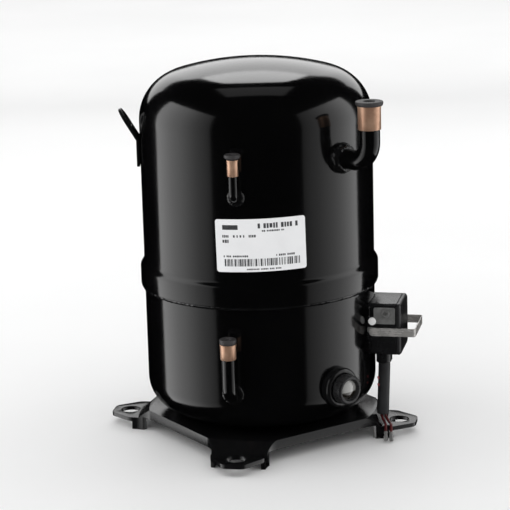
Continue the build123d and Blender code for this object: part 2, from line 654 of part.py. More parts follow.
# ---------------------------------------------------------------- terminal box
box_back = math.sqrt(SHELL_RADIUS ** 2 - BOX_HALF_WIDTH ** 2) - SMALL
with BuildPart() as terminal_box_body:
    with BuildSketch(facing_plane(BOX_AZIMUTH, box_back, BOX_CENTRE)):
        RectangleRounded(2 * BOX_HALF_WIDTH, 2 * BOX_HALF_HEIGHT, radius=BOX_CORNER)
        RectangleRounded(2 * (BOX_HALF_WIDTH - BOX_WALL), 2 * (BOX_HALF_HEIGHT - BOX_WALL),
                         radius=BOX_CORNER - BOX_WALL, mode=Mode.SUBTRACT)
    extrude(amount=BOX_FACE - box_back)
    with BuildSketch(Plane.XY.offset(BOX_CENTRE - 2 * BOX_HALF_HEIGHT)):
        Circle(SHELL_RADIUS + LAP_GAP)
    extrude(amount=4 * BOX_HALF_HEIGHT, mode=Mode.SUBTRACT)
    with BuildSketch(level_plane(BOX_AZIMUTH, BOX_CENTRE - BOX_HALF_HEIGHT - SMALL)):
        with Locations((GLAND_RADIAL, GLAND_SIDE)):
            Circle(SLEEVE_RADIUS + SMALL)
    extrude(amount=BOX_WALL + 2 * SMALL, mode=Mode.SUBTRACT)
terminal_box_body.part.label = "terminal_box_body"
export_step(terminal_box_body.part, "parts/terminal_box_body.step")

cover_back = BOX_FACE + LOOSE_GAP
cover_face = cover_back + COVER_RIM
spigot_inset = BOX_WALL + LOOSE_GAP
with BuildPart() as terminal_cover:
    with BuildSketch(facing_plane(BOX_AZIMUTH, cover_back, BOX_CENTRE)) as cover_profile:
        RectangleRounded(2 * BOX_HALF_WIDTH, 2 * BOX_HALF_HEIGHT, radius=BOX_CORNER)
    extrude(amount=COVER_RIM)
    cover_axis = Axis(cover_profile.sketch.center(), outward(BOX_AZIMUTH))
    cover_front = terminal_cover.faces().sort_by(cover_axis)[-1]
    chamfer(cover_front.edges(), length=COVER_CHAMFER)
    dome_slice = Plane(origin=Vector(0, 0, BOX_CENTRE), x_dir=outward(BOX_AZIMUTH),
                       z_dir=-sideways(BOX_AZIMUTH))
    dome = dished_end(COVER_DOME_RADIUS, COVER_CROWN, COVER_KNUCKLE, cover_face + COVER_DOME, 1)
    dome_places = [(distance, radius) for radius, distance in dome]
    with BuildSketch(dome_slice):
        with BuildLine():
            draw_dished_end(dome_places)
            Polyline(dome_places[0], (cover_face - COVER_RIM / 2, COVER_DOME_RADIUS),
                     (cover_face - COVER_RIM / 2, 0), dome_places[4])
        make_face()
    revolve(axis=Axis(dome_slice.origin, dome_slice.x_dir))
    with BuildSketch(facing_plane(BOX_AZIMUTH, cover_back - BOX_WALL, BOX_CENTRE)):
        RectangleRounded(2 * (BOX_HALF_WIDTH - spigot_inset), 2 * (BOX_HALF_HEIGHT - spigot_inset),
                         radius=BOX_CORNER - BOX_WALL)
        RectangleRounded(2 * (BOX_HALF_WIDTH - spigot_inset - BOX_WALL),
                         2 * (BOX_HALF_HEIGHT - spigot_inset - BOX_WALL), radius=SMALL,
                         mode=Mode.SUBTRACT)
    extrude(amount=BOX_WALL + SMALL)
terminal_cover.part.label = "terminal_cover"
export_step(terminal_cover.part, "parts/terminal_cover.step")

clip_side = BOX_HALF_WIDTH + LOOSE_GAP
clip_outer = clip_side + CLIP_THICKNESS
with BuildPart() as cover_clip:
    with BuildSketch(level_plane(BOX_AZIMUTH, CLIP_HEIGHT - CLIP_WIDTH / 2)) as strap:
        with Locations(((CLIP_PIVOT + CLIP_BAR) / 2, 0)):
            RectangleRounded(CLIP_BAR - CLIP_PIVOT + CLIP_WIDTH, 2 * clip_outer, radius=3.0)
            RectangleRounded(CLIP_BAR - CLIP_PIVOT + CLIP_WIDTH - 2 * CLIP_THICKNESS, 2 * clip_side,
                             radius=3.0 - CLIP_THICKNESS, mode=Mode.SUBTRACT)
        with Locations((CLIP_PIVOT - CLIP_WIDTH, 0)):
            Rectangle(2 * CLIP_WIDTH, 4 * BOX_HALF_WIDTH, mode=Mode.SUBTRACT)
    extrude(amount=CLIP_WIDTH)
    for strap_side in (-clip_outer, clip_side):
        pivot_place = outward(BOX_AZIMUTH) * CLIP_PIVOT + sideways(BOX_AZIMUTH) * strap_side
        with BuildSketch(Plane(origin=pivot_place + Vector(0, 0, CLIP_HEIGHT), z_dir=sideways(BOX_AZIMUTH))):
            Circle(CLIP_WIDTH / 2)
        extrude(amount=CLIP_THICKNESS)
cover_clip.part.label = "cover_clip"
export_step(cover_clip.part, "parts/cover_clip.step")

box_bottom = BOX_CENTRE - BOX_HALF_HEIGHT
with BuildPart() as cable_gland:
    with BuildSketch(level_plane(BOX_AZIMUTH, box_bottom)):
        with Locations((GLAND_RADIAL, GLAND_SIDE)):
            with Locations((0, -3.2), (0, 3.2)):
                Circle(7.2)
            Circle(SLEEVE_RADIUS + SEAT_FIT, mode=Mode.SUBTRACT)
    extrude(amount=-GLAND_LENGTH)
cable_gland.part.label = "cable_gland"
export_step(cable_gland.part, "parts/cable_gland.step")

gland_place = outward(BOX_AZIMUTH) * GLAND_RADIAL + sideways(BOX_AZIMUTH) * GLAND_SIDE
sleeve_foot = (outward(BOX_AZIMUTH) * (GLAND_RADIAL + SLEEVE_LEAN[0])
               + sideways(BOX_AZIMUTH) * (GLAND_SIDE + SLEEVE_LEAN[1]) + Vector(0, 0, SLEEVE_BOTTOM))
gland_bottom = box_bottom - GLAND_LENGTH
with BuildPart() as cable_sleeve:
    with BuildLine() as sleeve_route:
        FilletPolyline(gland_place + Vector(0, 0, box_bottom), gland_place + Vector(0, 0, gland_bottom - 4),
                       sleeve_foot, radius=40)
    with BuildSketch(Plane(origin=gland_place + Vector(0, 0, box_bottom), z_dir=(0, 0, -1))):
        Circle(SLEEVE_RADIUS)
        Circle(SLEEVE_RADIUS - SLEEVE_WALL, mode=Mode.SUBTRACT)
    sweep(path=sleeve_route.line)
cable_sleeve.part.label = "cable_sleeve"
export_step(cable_sleeve.part, "parts/cable_sleeve.step")

# ---------------------------------------------------------------- earth terminal, studs and feedthrough
near_face = -BOX_HALF_WIDTH - SEAT_FIT
with BuildPart() as ground_bracket:
    with BuildSketch(Plane(origin=sideways(BOX_AZIMUTH) * near_face, x_dir=outward(BOX_AZIMUTH),
                           z_dir=-sideways(BOX_AZIMUTH))):
        with Locations((BRACKET_MIDDLE, BRACKET_HEIGHT)):
            RectangleRounded(BRACKET_LENGTH, BRACKET_DEPTH, radius=1.5)
        with Locations((EARTH_SCREW_RADIAL, EARTH_SCREW_HEIGHT)):
            Circle(EARTH_SCREW_SHANK + SEAT_FIT, mode=Mode.SUBTRACT)
    extrude(amount=BRACKET_THICKNESS)
ground_bracket.part.label = "ground_bracket"
export_step(ground_bracket.part, "parts/ground_bracket.step")

screw_seat = near_face - BRACKET_THICKNESS
screw_plane = Plane(origin=sideways(BOX_AZIMUTH) * screw_seat + outward(BOX_AZIMUTH) * EARTH_SCREW_RADIAL
                    + Vector(0, 0, EARTH_SCREW_HEIGHT), x_dir=outward(BOX_AZIMUTH),
                    z_dir=-sideways(BOX_AZIMUTH))
with BuildPart() as ground_screw:
    with BuildSketch(screw_plane):
        Circle(EARTH_SCREW_HEAD)
    extrude(amount=2.0)
    head_rim = ground_screw.faces().sort_by(Axis(screw_plane.origin, screw_plane.z_dir))[-1]
    fillet(head_rim.edges(), radius=0.9)
    with BuildSketch(screw_plane.offset(2.0)):
        Rectangle(4.6, 0.9)
        Rectangle(0.9, 4.6)
    extrude(amount=-1.2, mode=Mode.SUBTRACT)
    with BuildSketch(screw_plane):
        Circle(EARTH_SCREW_SHANK)
    extrude(amount=-BRACKET_THICKNESS)
ground_screw.part.label = "ground_screw"
export_step(ground_screw.part, "parts/ground_screw.step")

with BuildPart() as box_studs:
    for stud_height in STUD_HEIGHTS:
        with BuildSketch(facing_plane(BOX_AZIMUTH, SHELL_RADIUS - 6, stud_height)):
            with Locations((-BOX_HALF_WIDTH - STUD_RADIUS - LOOSE_GAP, 0)):
                Circle(STUD_RADIUS)
        extrude(amount=STUD_LENGTH)
    with BuildSketch(Plane.XY.offset(BOX_CENTRE - 2 * BOX_HALF_HEIGHT)):
        Circle(SHELL_RADIUS)
    extrude(amount=4 * BOX_HALF_HEIGHT, mode=Mode.SUBTRACT)
box_studs.part.label = "box_studs"
export_step(box_studs.part, "parts/box_studs.step")

plug_start = STUB_INNER_END + SMALL
plug_bore = PLUG_RADIUS - 2 - SEAT_FIT

with BuildPart() as terminal_plug:
    with BuildSketch(facing_plane(BOX_AZIMUTH, plug_start, BOX_CENTRE)):
        Circle(plug_bore)
    extrude(amount=SHELL_RADIUS + 3 - plug_start)
    with BuildSketch(facing_plane(BOX_AZIMUTH, SHELL_RADIUS + 3, BOX_CENTRE)):
        Circle(PLUG_RADIUS - 5)
    extrude(amount=-3.0, mode=Mode.SUBTRACT)
    with BuildSketch(facing_plane(BOX_AZIMUTH, plug_start - SMALL, BOX_CENTRE)):
        with PolarLocations(PIN_CIRCLE, 3, start_angle=90):
            Circle(TERMINAL_PIN + SEAT_FIT)
    extrude(amount=20, mode=Mode.SUBTRACT)
terminal_plug.part.label = "terminal_plug"
export_step(terminal_plug.part, "parts/terminal_plug.step")

with BuildPart() as terminal_pins:
    with BuildSketch(facing_plane(BOX_AZIMUTH, plug_start - 8, BOX_CENTRE)):
        with PolarLocations(PIN_CIRCLE, 3, start_angle=90):
            Circle(TERMINAL_PIN)
    extrude(amount=SHELL_RADIUS + 16 - plug_start + 8)
terminal_pins.part.label = "terminal_pins"
export_step(terminal_pins.part, "parts/terminal_pins.step")

# ---------------------------------------------------------------- crankshaft body
shaft_foot = LOWER_PLATE_BOTTOM - SUMP_CLEARANCE
journal_top = LOWER_PLATE_BOTTOM + 2 * LOWER_PLATE + 8
pin_top = THRUST_TOP - LOOSE_GAP
with BuildPart() as crankshaft:
    with BuildSketch(Plane.XY.offset(shaft_foot)):
        Circle(LOWER_JOURNAL)
    extrude(amount=journal_top - shaft_foot)
    with BuildSketch(Plane.XY.offset(journal_top)):
        Circle(SHAFT_RADIUS)
    extrude(amount=POCKET_FLOOR - journal_top)
    with BuildSketch(Plane.XY.offset(POCKET_FLOOR)):
        with Locations((ORBIT, 0)):
            Circle(PIN_RADIUS)
    extrude(amount=pin_top - POCKET_FLOOR)
    with BuildSketch(Plane.XY.offset(shaft_foot - SMALL)):
        Circle(OIL_WAY)
    extrude(amount=pin_top - shaft_foot - 10, mode=Mode.SUBTRACT)
crankshaft.part.label = "crankshaft"
export_step(crankshaft.part, "parts/crankshaft.step")

pickup_bore = LOWER_JOURNAL + SEAT_FIT
pickup_skirt = pickup_bore + 1.2
pickup_foot = shaft_foot - PICKUP_LENGTH
oil_pickup_part = turned([(OIL_WAY + SMALL, pickup_foot), (OIL_WAY + 2.5, pickup_foot),
                          (pickup_skirt, shaft_foot - 8), (pickup_skirt, shaft_foot + 6),
                          (pickup_bore, shaft_foot + 6), (pickup_bore, shaft_foot - 7)])
oil_pickup_part.label = "oil_pickup"
export_step(oil_pickup_part, "parts/oil_pickup.step")

rotor_bottom = STATOR_BOTTOM + 1
rotor_top = STATOR_TOP - 1
with BuildPart() as rotor_core:
    with BuildSketch(Plane.XY.offset(rotor_bottom)):
        Circle(ROTOR_RADIUS)
        Circle(SHAFT_RADIUS + SEAT_FIT, mode=Mode.SUBTRACT)
        with PolarLocations(ROTOR_BAR_CIRCLE, ROTOR_BARS):
            Circle(ROTOR_BAR + SEAT_FIT, mode=Mode.SUBTRACT)
    extrude(amount=rotor_top - rotor_bottom)
rotor_core.part.label = "rotor_core"
export_step(rotor_core.part, "parts/rotor_core.step")

with BuildPart() as rotor_cage:
    with BuildSketch(Plane.XY.offset(rotor_bottom - END_RING)):
        with PolarLocations(ROTOR_BAR_CIRCLE, ROTOR_BARS):
            Circle(ROTOR_BAR)
    extrude(amount=rotor_top - rotor_bottom + 2 * END_RING)
    add(ring(ROTOR_BAR_CIRCLE - ROTOR_BAR - 2, ROTOR_RADIUS - 1, rotor_bottom - END_RING, rotor_bottom))
    add(ring(ROTOR_BAR_CIRCLE - ROTOR_BAR - 2, ROTOR_RADIUS - 1, rotor_top, rotor_top + END_RING))
rotor_cage.part.label = "rotor_cage"
export_step(rotor_cage.part, "parts/rotor_cage.step")

for weight_name, weight_bottom, weight_side in (
        ("upper_counterweight", rotor_top + END_RING + LOOSE_GAP, -1),
        ("lower_counterweight", rotor_bottom - END_RING - LOOSE_GAP - WEIGHT_THICKNESS, 1)):
    with BuildPart() as counterweight:
        with BuildSketch(Plane.XY.offset(weight_bottom)):
            Circle(WEIGHT_RADIUS)
            with Locations((-weight_side * WEIGHT_RADIUS, 0)):
                Rectangle(2 * WEIGHT_RADIUS, 2 * WEIGHT_RADIUS, mode=Mode.SUBTRACT)
            Circle(SHAFT_RADIUS + 4)
            Circle(SHAFT_RADIUS + SEAT_FIT, mode=Mode.SUBTRACT)
        extrude(amount=WEIGHT_THICKNESS)
    counterweight.part.label = weight_name
    export_step(counterweight.part, f"parts/{weight_name}.step")

# ---------------------------------------------------------------- stator
with BuildPart() as stator_core:
    with BuildSketch(Plane.XY.offset(STATOR_BOTTOM)):
        Circle(STATOR_RADIUS)
        Circle(ROTOR_RADIUS + AIR_GAP, mode=Mode.SUBTRACT)
        with PolarLocations((END_TURN_INNER + END_TURN_OUTER) / 2, SLOT_COUNT):
            Rectangle(END_TURN_OUTER - END_TURN_INNER - 6, SLOT_WIDTH, mode=Mode.SUBTRACT)
        with PolarLocations(STATOR_BOLT_CIRCLE, 4, start_angle=45):
            Circle(STATOR_BOLT + SEAT_FIT, mode=Mode.SUBTRACT)
    extrude(amount=STATOR_HEIGHT)
stator_core.part.label = "stator_core"
export_step(stator_core.part, "parts/stator_core.step")

with BuildPart() as stator_windings:
    with BuildSketch(Plane.XY.offset(STATOR_BOTTOM - END_TURN_HEIGHT)):
        with PolarLocations((END_TURN_INNER + END_TURN_OUTER) / 2, SLOT_COUNT):
            Rectangle(END_TURN_OUTER - END_TURN_INNER - 7, SLOT_WIDTH - 2 * LOOSE_GAP)
    extrude(amount=STATOR_HEIGHT + 2 * END_TURN_HEIGHT)
    for turn_bottom in (STATOR_BOTTOM - END_TURN_HEIGHT, STATOR_TOP + LOOSE_GAP):
        add(ring(END_TURN_INNER, END_TURN_OUTER, turn_bottom, turn_bottom + END_TURN_HEIGHT - LOOSE_GAP))
stator_windings.part.label = "stator_windings"
export_step(stator_windings.part, "parts/stator_windings.step")

with BuildPart() as stator_bolts:
    with PolarLocations(STATOR_BOLT_CIRCLE, 4, start_angle=45):
        Cylinder(STATOR_BOLT * 1.9, SCREW_HEAD_HEIGHT, align=(Align.CENTER, Align.CENTER, Align.MAX))
        Cylinder(STATOR_BOLT, WEB_BOTTOM - STATOR_BOTTOM + STATOR_BOLT_GRIP,
                 align=(Align.CENTER, Align.CENTER, Align.MIN))
stator_bolts_piece = stator_bolts.part.moved(Location((0, 0, STATOR_BOTTOM)))
stator_bolts_piece.label = "stator_bolts"
export_step(stator_bolts_piece, "parts/stator_bolts.step")

# ---------------------------------------------------------------- frame and bearings
line_azimuth = DISCHARGE["azimuth"]
frame_foot = WEB_BOTTOM - FRAME_HUB_DROP
frame_rim = SHELL_INNER - LAP_GAP
thrust_land = OLDHAM_INNER - ORBIT - SMALL
with BuildPart() as main_frame:
    with BuildSketch(Plane.XZ):
        with BuildLine():
            Polyline((MAIN_BEARING + SEAT_FIT, frame_foot), (FRAME_HUB, frame_foot),
                     (FRAME_HUB, WEB_BOTTOM), (frame_rim, WEB_BOTTOM),
                     (frame_rim, RIM_TOP), (FIXED_RADIUS - RIM_WALL, RIM_TOP),
                     (FIXED_RADIUS - RIM_WALL, RECESS_FLOOR), (thrust_land, RECESS_FLOOR),
                     (thrust_land, THRUST_TOP), (FRAME_POCKET, THRUST_TOP),
                     (FRAME_POCKET, POCKET_FLOOR), (MAIN_BEARING + SEAT_FIT, POCKET_FLOOR), close=True)
        make_face()
    revolve(axis=Axis.Z)
    add(ring(*HUB_GROOVE, WEB_BOTTOM - SMALL, WEB_BOTTOM + HUB_GROOVE_DEPTH), mode=Mode.SUBTRACT)
    add(ring(*RIM_GROOVE, WEB_BOTTOM - SMALL, WEB_BOTTOM + RIM_GROOVE_DEPTH), mode=Mode.SUBTRACT)
    with BuildSketch(Plane.XY.offset(RECESS_FLOOR)):
        with Locations(((OLDHAM_INNER + OLDHAM_OUTER) / 2, 0), (-(OLDHAM_INNER + OLDHAM_OUTER) / 2, 0)):
            Rectangle(OLDHAM_OUTER - OLDHAM_INNER + 2 * ORBIT + 2, OLDHAM_KEY + 2 * KEY_GAP)
    extrude(amount=-KEY_LENGTH - LOOSE_GAP, mode=Mode.SUBTRACT)
    with BuildSketch(level_plane(line_azimuth, WEB_BOTTOM - SMALL)):
        with Locations((LINE_REACH + LINE_RADIUS, 0)):
            Rectangle(4 * LINE_RADIUS + 4, 2 * LINE_RADIUS + 2)
    extrude(amount=RIM_TOP - WEB_BOTTOM + 2 * SMALL, mode=Mode.SUBTRACT)
    with BuildSketch(Plane.XY.offset(RIM_TOP)):
        with PolarLocations(FIXED_RADIUS - RIM_WALL / 2, SCROLL_BOLTS, start_angle=line_azimuth - 60):
            Circle(SCROLL_BOLT + SEAT_FIT)
    extrude(amount=-BOLT_BITE - SMALL, mode=Mode.SUBTRACT)
    with BuildSketch(Plane.XY.offset(WEB_BOTTOM - SMALL)):
        with PolarLocations(STATOR_BOLT_CIRCLE, 4, start_angle=45):
            Circle(STATOR_BOLT + SEAT_FIT)
    extrude(amount=8 + SMALL, mode=Mode.SUBTRACT)
main_frame.part.label = "main_frame"
export_step(main_frame.part, "parts/main_frame.step")

main_bearing_part = ring(SHAFT_RADIUS + RUNNING_FIT, MAIN_BEARING, frame_foot, POCKET_FLOOR)
main_bearing_part.label = "main_bearing"
export_step(main_bearing_part, "parts/main_bearing.step")

lower_bush = LOWER_JOURNAL + BEARING_WALL
lower_hub_top = LOWER_PLATE_BOTTOM + 2 * LOWER_PLATE
plate_hub = LOWER_JOURNAL + 3 * BEARING_WALL
with BuildPart() as lower_bearing_plate:
    add(turned([(lower_bush + SEAT_FIT, LOWER_PLATE_BOTTOM), (frame_rim, LOWER_PLATE_BOTTOM),
                (frame_rim, LOWER_PLATE_BOTTOM + LOWER_PLATE),
                (plate_hub, LOWER_PLATE_BOTTOM + LOWER_PLATE), (plate_hub, lower_hub_top),
                (lower_bush + SEAT_FIT, lower_hub_top)]))
    with BuildSketch(Plane.XY.offset(LOWER_PLATE_BOTTOM - SMALL)):
        with PolarLocations((plate_hub + SHELL_INNER) / 2, 6):
            Circle((SHELL_INNER - plate_hub) * 0.3)
    extrude(amount=LOWER_PLATE + 2 * SMALL, mode=Mode.SUBTRACT)
    with BuildSketch(level_plane(line_azimuth, LOWER_PLATE_BOTTOM - SMALL)):
        with Locations((LINE_REACH + LINE_RADIUS, 0)):
            Rectangle(4 * LINE_RADIUS + 4, 2 * LINE_RADIUS + 2)
    extrude(amount=LOWER_PLATE + 2 * SMALL, mode=Mode.SUBTRACT)
lower_bearing_plate.part.label = "lower_bearing_plate"
export_step(lower_bearing_plate.part, "parts/lower_bearing_plate.step")

lower_bearing_part = ring(LOWER_JOURNAL + RUNNING_FIT, lower_bush, LOWER_PLATE_BOTTOM, lower_hub_top)
lower_bearing_part.label = "lower_bearing"
export_step(lower_bearing_part, "parts/lower_bearing.step")

# ---------------------------------------------------------------- Oldham coupling and thrust washer
with BuildPart() as thrust_washer:
    with BuildSketch(Plane.XY.offset(POCKET_FLOOR + SEAT_FIT)):
        with Locations((ORBIT / 2, 0)):
            Circle(WASHER_OUTER)
            Circle(BUSH_RADIUS + ORBIT / 2 + SMALL, mode=Mode.SUBTRACT)
    extrude(amount=WASHER_THICKNESS)
thrust_washer.part.label = "thrust_washer"
export_step(thrust_washer.part, "parts/thrust_washer.step")

oldham_middle = (OLDHAM_INNER + OLDHAM_OUTER) / 2
oldham_bottom = RECESS_FLOOR + LOOSE_GAP
oldham_top = THRUST_TOP - LOOSE_GAP
with BuildPart() as oldham_ring:
    with BuildSketch(Plane.XY.offset(oldham_bottom)):
        with Locations((ORBIT, 0)):
            Circle(OLDHAM_OUTER)
            Circle(OLDHAM_INNER, mode=Mode.SUBTRACT)
    extrude(amount=oldham_top - oldham_bottom)
    with BuildSketch(Plane.XY.offset(RECESS_FLOOR - KEY_LENGTH)):
        with Locations((ORBIT + oldham_middle, 0), (ORBIT - oldham_middle, 0)):
            Rectangle(OLDHAM_OUTER - OLDHAM_INNER - 2, OLDHAM_KEY)
    extrude(amount=KEY_LENGTH + LOOSE_GAP + SMALL)
    with BuildSketch(Plane.XY.offset(oldham_top - SMALL)):
        with Locations((ORBIT, oldham_middle), (ORBIT, -oldham_middle)):
            Rectangle(OLDHAM_KEY, OLDHAM_OUTER - OLDHAM_INNER - 2)
    extrude(amount=KEY_LENGTH + SMALL)
oldham_ring.part.label = "oldham_ring"
export_step(oldham_ring.part, "parts/oldham_ring.step")

# ---------------------------------------------------------------- orbiting scroll
orbit_plane = Plane(origin=(ORBIT, 0, PLATE_TOP), x_dir=(-1, 0, 0), z_dir=(0, 0, 1))
wrap_top = FIXED_UNDERSIDE - TIP_GAP
hub_bottom = POCKET_FLOOR + WASHER_THICKNESS + 2 * LOOSE_GAP
with BuildPart() as orbiting_scroll:
    with BuildSketch(orbit_plane.offset(-PLATE_THICKNESS)):
        Circle(PLATE_RADIUS)
    extrude(amount=PLATE_THICKNESS)
    with BuildSketch(orbit_plane):
        with BuildLine():
            draw_scroll_wall(WRAP_WALL, 0, WRAP_HALF_TURNS)
        make_face()
    extrude(amount=wrap_top - PLATE_TOP)
    with BuildSketch(orbit_plane.offset(wrap_top - PLATE_TOP)):
        with BuildLine():
            draw_scroll_wall(SEAL_GROOVE, 1, WRAP_HALF_TURNS - 1)
        make_face()
    extrude(amount=-SEAL_DEPTH, mode=Mode.SUBTRACT)
    with BuildSketch(orbit_plane.offset(hub_bottom - PLATE_TOP)):
        Circle(HUB_RADIUS)
        Circle(ORBIT_BEARING + SEAT_FIT, mode=Mode.SUBTRACT)
    extrude(amount=PLATE_BOTTOM - hub_bottom)
    with BuildSketch(orbit_plane.offset(-PLATE_THICKNESS)):
        with Locations((0, oldham_middle), (0, -oldham_middle)):
            Rectangle(OLDHAM_KEY + 2 * KEY_GAP, OLDHAM_OUTER - OLDHAM_INNER + 2 * ORBIT + 2)
    extrude(amount=KEY_LENGTH, mode=Mode.SUBTRACT)
orbiting_scroll.part.label = "orbiting_scroll"
export_step(orbiting_scroll.part, "parts/orbiting_scroll.step")

with BuildPart() as orbiting_tip_seal:
    with BuildSketch(orbit_plane.offset(wrap_top - PLATE_TOP - SEAL_DEPTH + SEAT_FIT)):
        with BuildLine():
            draw_scroll_wall(SEAL_GROOVE - 2 * SEAT_FIT, 1, WRAP_HALF_TURNS - 1)
        make_face()
    extrude(amount=SEAL_DEPTH)
orbiting_tip_seal.part.label = "orbiting_tip_seal"
export_step(orbiting_tip_seal.part, "parts/orbiting_tip_seal.step")

with BuildPart() as orbiting_bearing:
    with BuildSketch(orbit_plane.offset(hub_bottom - PLATE_TOP)):
        Circle(ORBIT_BEARING)
        Circle(BUSH_RADIUS + RUNNING_FIT, mode=Mode.SUBTRACT)
    extrude(amount=PLATE_BOTTOM - hub_bottom - LOOSE_GAP)
orbiting_bearing.part.label = "orbiting_bearing"
export_step(orbiting_bearing.part, "parts/orbiting_bearing.step")

with BuildPart() as drive_bush:
    with BuildSketch(orbit_plane.offset(hub_bottom - PLATE_TOP)):
        Circle(BUSH_RADIUS)
        Circle(PIN_RADIUS + SEAT_FIT, mode=Mode.SUBTRACT)
    extrude(amount=pin_top - hub_bottom)
drive_bush.part.label = "drive_bush"
export_step(drive_bush.part, "parts/drive_bush.step")

# ---------------------------------------------------------------- fixed scroll
with BuildPart() as fixed_scroll:
    with BuildSketch(Plane.XZ):
        with BuildLine():
            Polyline((0, FIXED_UNDERSIDE), (CHAMBER_RADIUS, FIXED_UNDERSIDE),
                     (CHAMBER_RADIUS, PLATE_TOP + SEAT_FIT), (FIXED_RADIUS - RIM_WALL, PLATE_TOP + SEAT_FIT),
                     (FIXED_RADIUS - RIM_WALL, RIM_TOP), (FIXED_RADIUS, RIM_TOP), (FIXED_RADIUS, FIXED_TOP),
                     (0, FIXED_TOP), close=True)
        make_face()
    revolve(axis=Axis.Z)
    add(ring(*SCROLL_GROOVE, FIXED_TOP - SCROLL_GROOVE_DEPTH, FIXED_TOP + SMALL), mode=Mode.SUBTRACT)
    with BuildSketch(Plane.XY.offset(FIXED_UNDERSIDE)):
        with BuildLine():
            draw_scroll_wall(WRAP_WALL, 0, WRAP_HALF_TURNS)
        make_face()
    extrude(amount=-(WRAP_HEIGHT - TIP_GAP))
    with BuildSketch(Plane.XY.offset(PLATE_TOP + TIP_GAP)):
        with BuildLine():
            draw_scroll_wall(SEAL_GROOVE, 1, WRAP_HALF_TURNS - 1)
        make_face()
    extrude(amount=SEAL_DEPTH, mode=Mode.SUBTRACT)
    with BuildSketch(Plane.XY.offset(FIXED_UNDERSIDE - SMALL)):
        with Locations(PORT_PLACE):
            Circle(PORT_RADIUS)
    extrude(amount=FIXED_PLATE + 2 * SMALL, mode=Mode.SUBTRACT)
    with BuildSketch(facing_plane(SUCTION["azimuth"], CHAMBER_RADIUS - 6, FIXED_UNDERSIDE - 12)):
        Circle(SUCTION["tube"])
    extrude(amount=FIXED_RADIUS - CHAMBER_RADIUS + 8, mode=Mode.SUBTRACT)
    with BuildSketch(level_plane(line_azimuth, RIM_TOP - SMALL)):
        with Locations((LINE_REACH + LINE_RADIUS, 0)):
            Rectangle(4 * LINE_RADIUS + 4, 2 * LINE_RADIUS + 2)
    extrude(amount=FIXED_TOP - RIM_TOP + 2 * SMALL, mode=Mode.SUBTRACT)
    with BuildSketch(Plane.XY.offset(RIM_TOP - SMALL)):
        with PolarLocations(FIXED_RADIUS - RIM_WALL / 2, SCROLL_BOLTS, start_angle=line_azimuth - 60):
            Circle(SCROLL_BOLT + SEAT_FIT)
    extrude(amount=FIXED_TOP - RIM_TOP + 2 * SMALL, mode=Mode.SUBTRACT)
fixed_scroll.part.label = "fixed_scroll"
export_step(fixed_scroll.part, "parts/fixed_scroll.step")

with BuildPart() as fixed_tip_seal:
    with BuildSketch(Plane.XY.offset(PLATE_TOP + TIP_GAP - SEAT_FIT)):
        with BuildLine():
            draw_scroll_wall(SEAL_GROOVE - 2 * SEAT_FIT, 1, WRAP_HALF_TURNS - 1)
        make_face()
    extrude(amount=SEAL_DEPTH)
fixed_tip_seal.part.label = "fixed_tip_seal"
export_step(fixed_tip_seal.part, "parts/fixed_tip_seal.step")

with BuildPart() as scroll_bolts:
    with PolarLocations(FIXED_RADIUS - RIM_WALL / 2, SCROLL_BOLTS, start_angle=line_azimuth - 60):
        Cylinder(SCROLL_BOLT * 1.6, 5, align=(Align.CENTER, Align.CENTER, Align.MIN))
        Cylinder(SCROLL_BOLT, FIXED_TOP - RIM_TOP + BOLT_BITE, align=(Align.CENTER, Align.CENTER, Align.MAX))
scroll_bolts_piece = scroll_bolts.part.moved(Location((0, 0, FIXED_TOP)))
scroll_bolts_piece.label = "scroll_bolts"
export_step(scroll_bolts_piece, "parts/scroll_bolts.step")

# ---------------------------------------------------------------- discharge side
valve_bottom = FIXED_TOP + SEAT_FIT
with BuildPart() as discharge_valve_disc:
    with BuildSketch(Plane.XY.offset(valve_bottom)):
        with Locations(PORT_PLACE):
            Circle(VALVE_RADIUS)
    extrude(amount=VALVE_THICKNESS)
discharge_valve_disc.part.label = "discharge_valve_disc"
export_step(discharge_valve_disc.part, "parts/discharge_valve_disc.step")

retainer_under = valve_bottom + VALVE_THICKNESS + VALVE_LIFT + LOOSE_GAP
with BuildPart() as valve_retainer:
    with BuildSketch(Plane.XY.offset(FIXED_TOP)):
        with Locations(PORT_PLACE):
            Circle(VALVE_RADIUS + 4)
            Circle(VALVE_RADIUS + LOOSE_GAP, mode=Mode.SUBTRACT)
    extrude(amount=retainer_under - FIXED_TOP)
    with BuildSketch(Plane.XY.offset(retainer_under)):
        with Locations(PORT_PLACE):
            Circle(VALVE_RADIUS + 4)
            with PolarLocations(VALVE_RADIUS - 2, 3):
                Circle(2.2, mode=Mode.SUBTRACT)
    extrude(amount=RETAINER_PLATE)
valve_retainer.part.label = "valve_retainer"
export_step(valve_retainer.part, "parts/valve_retainer.step")

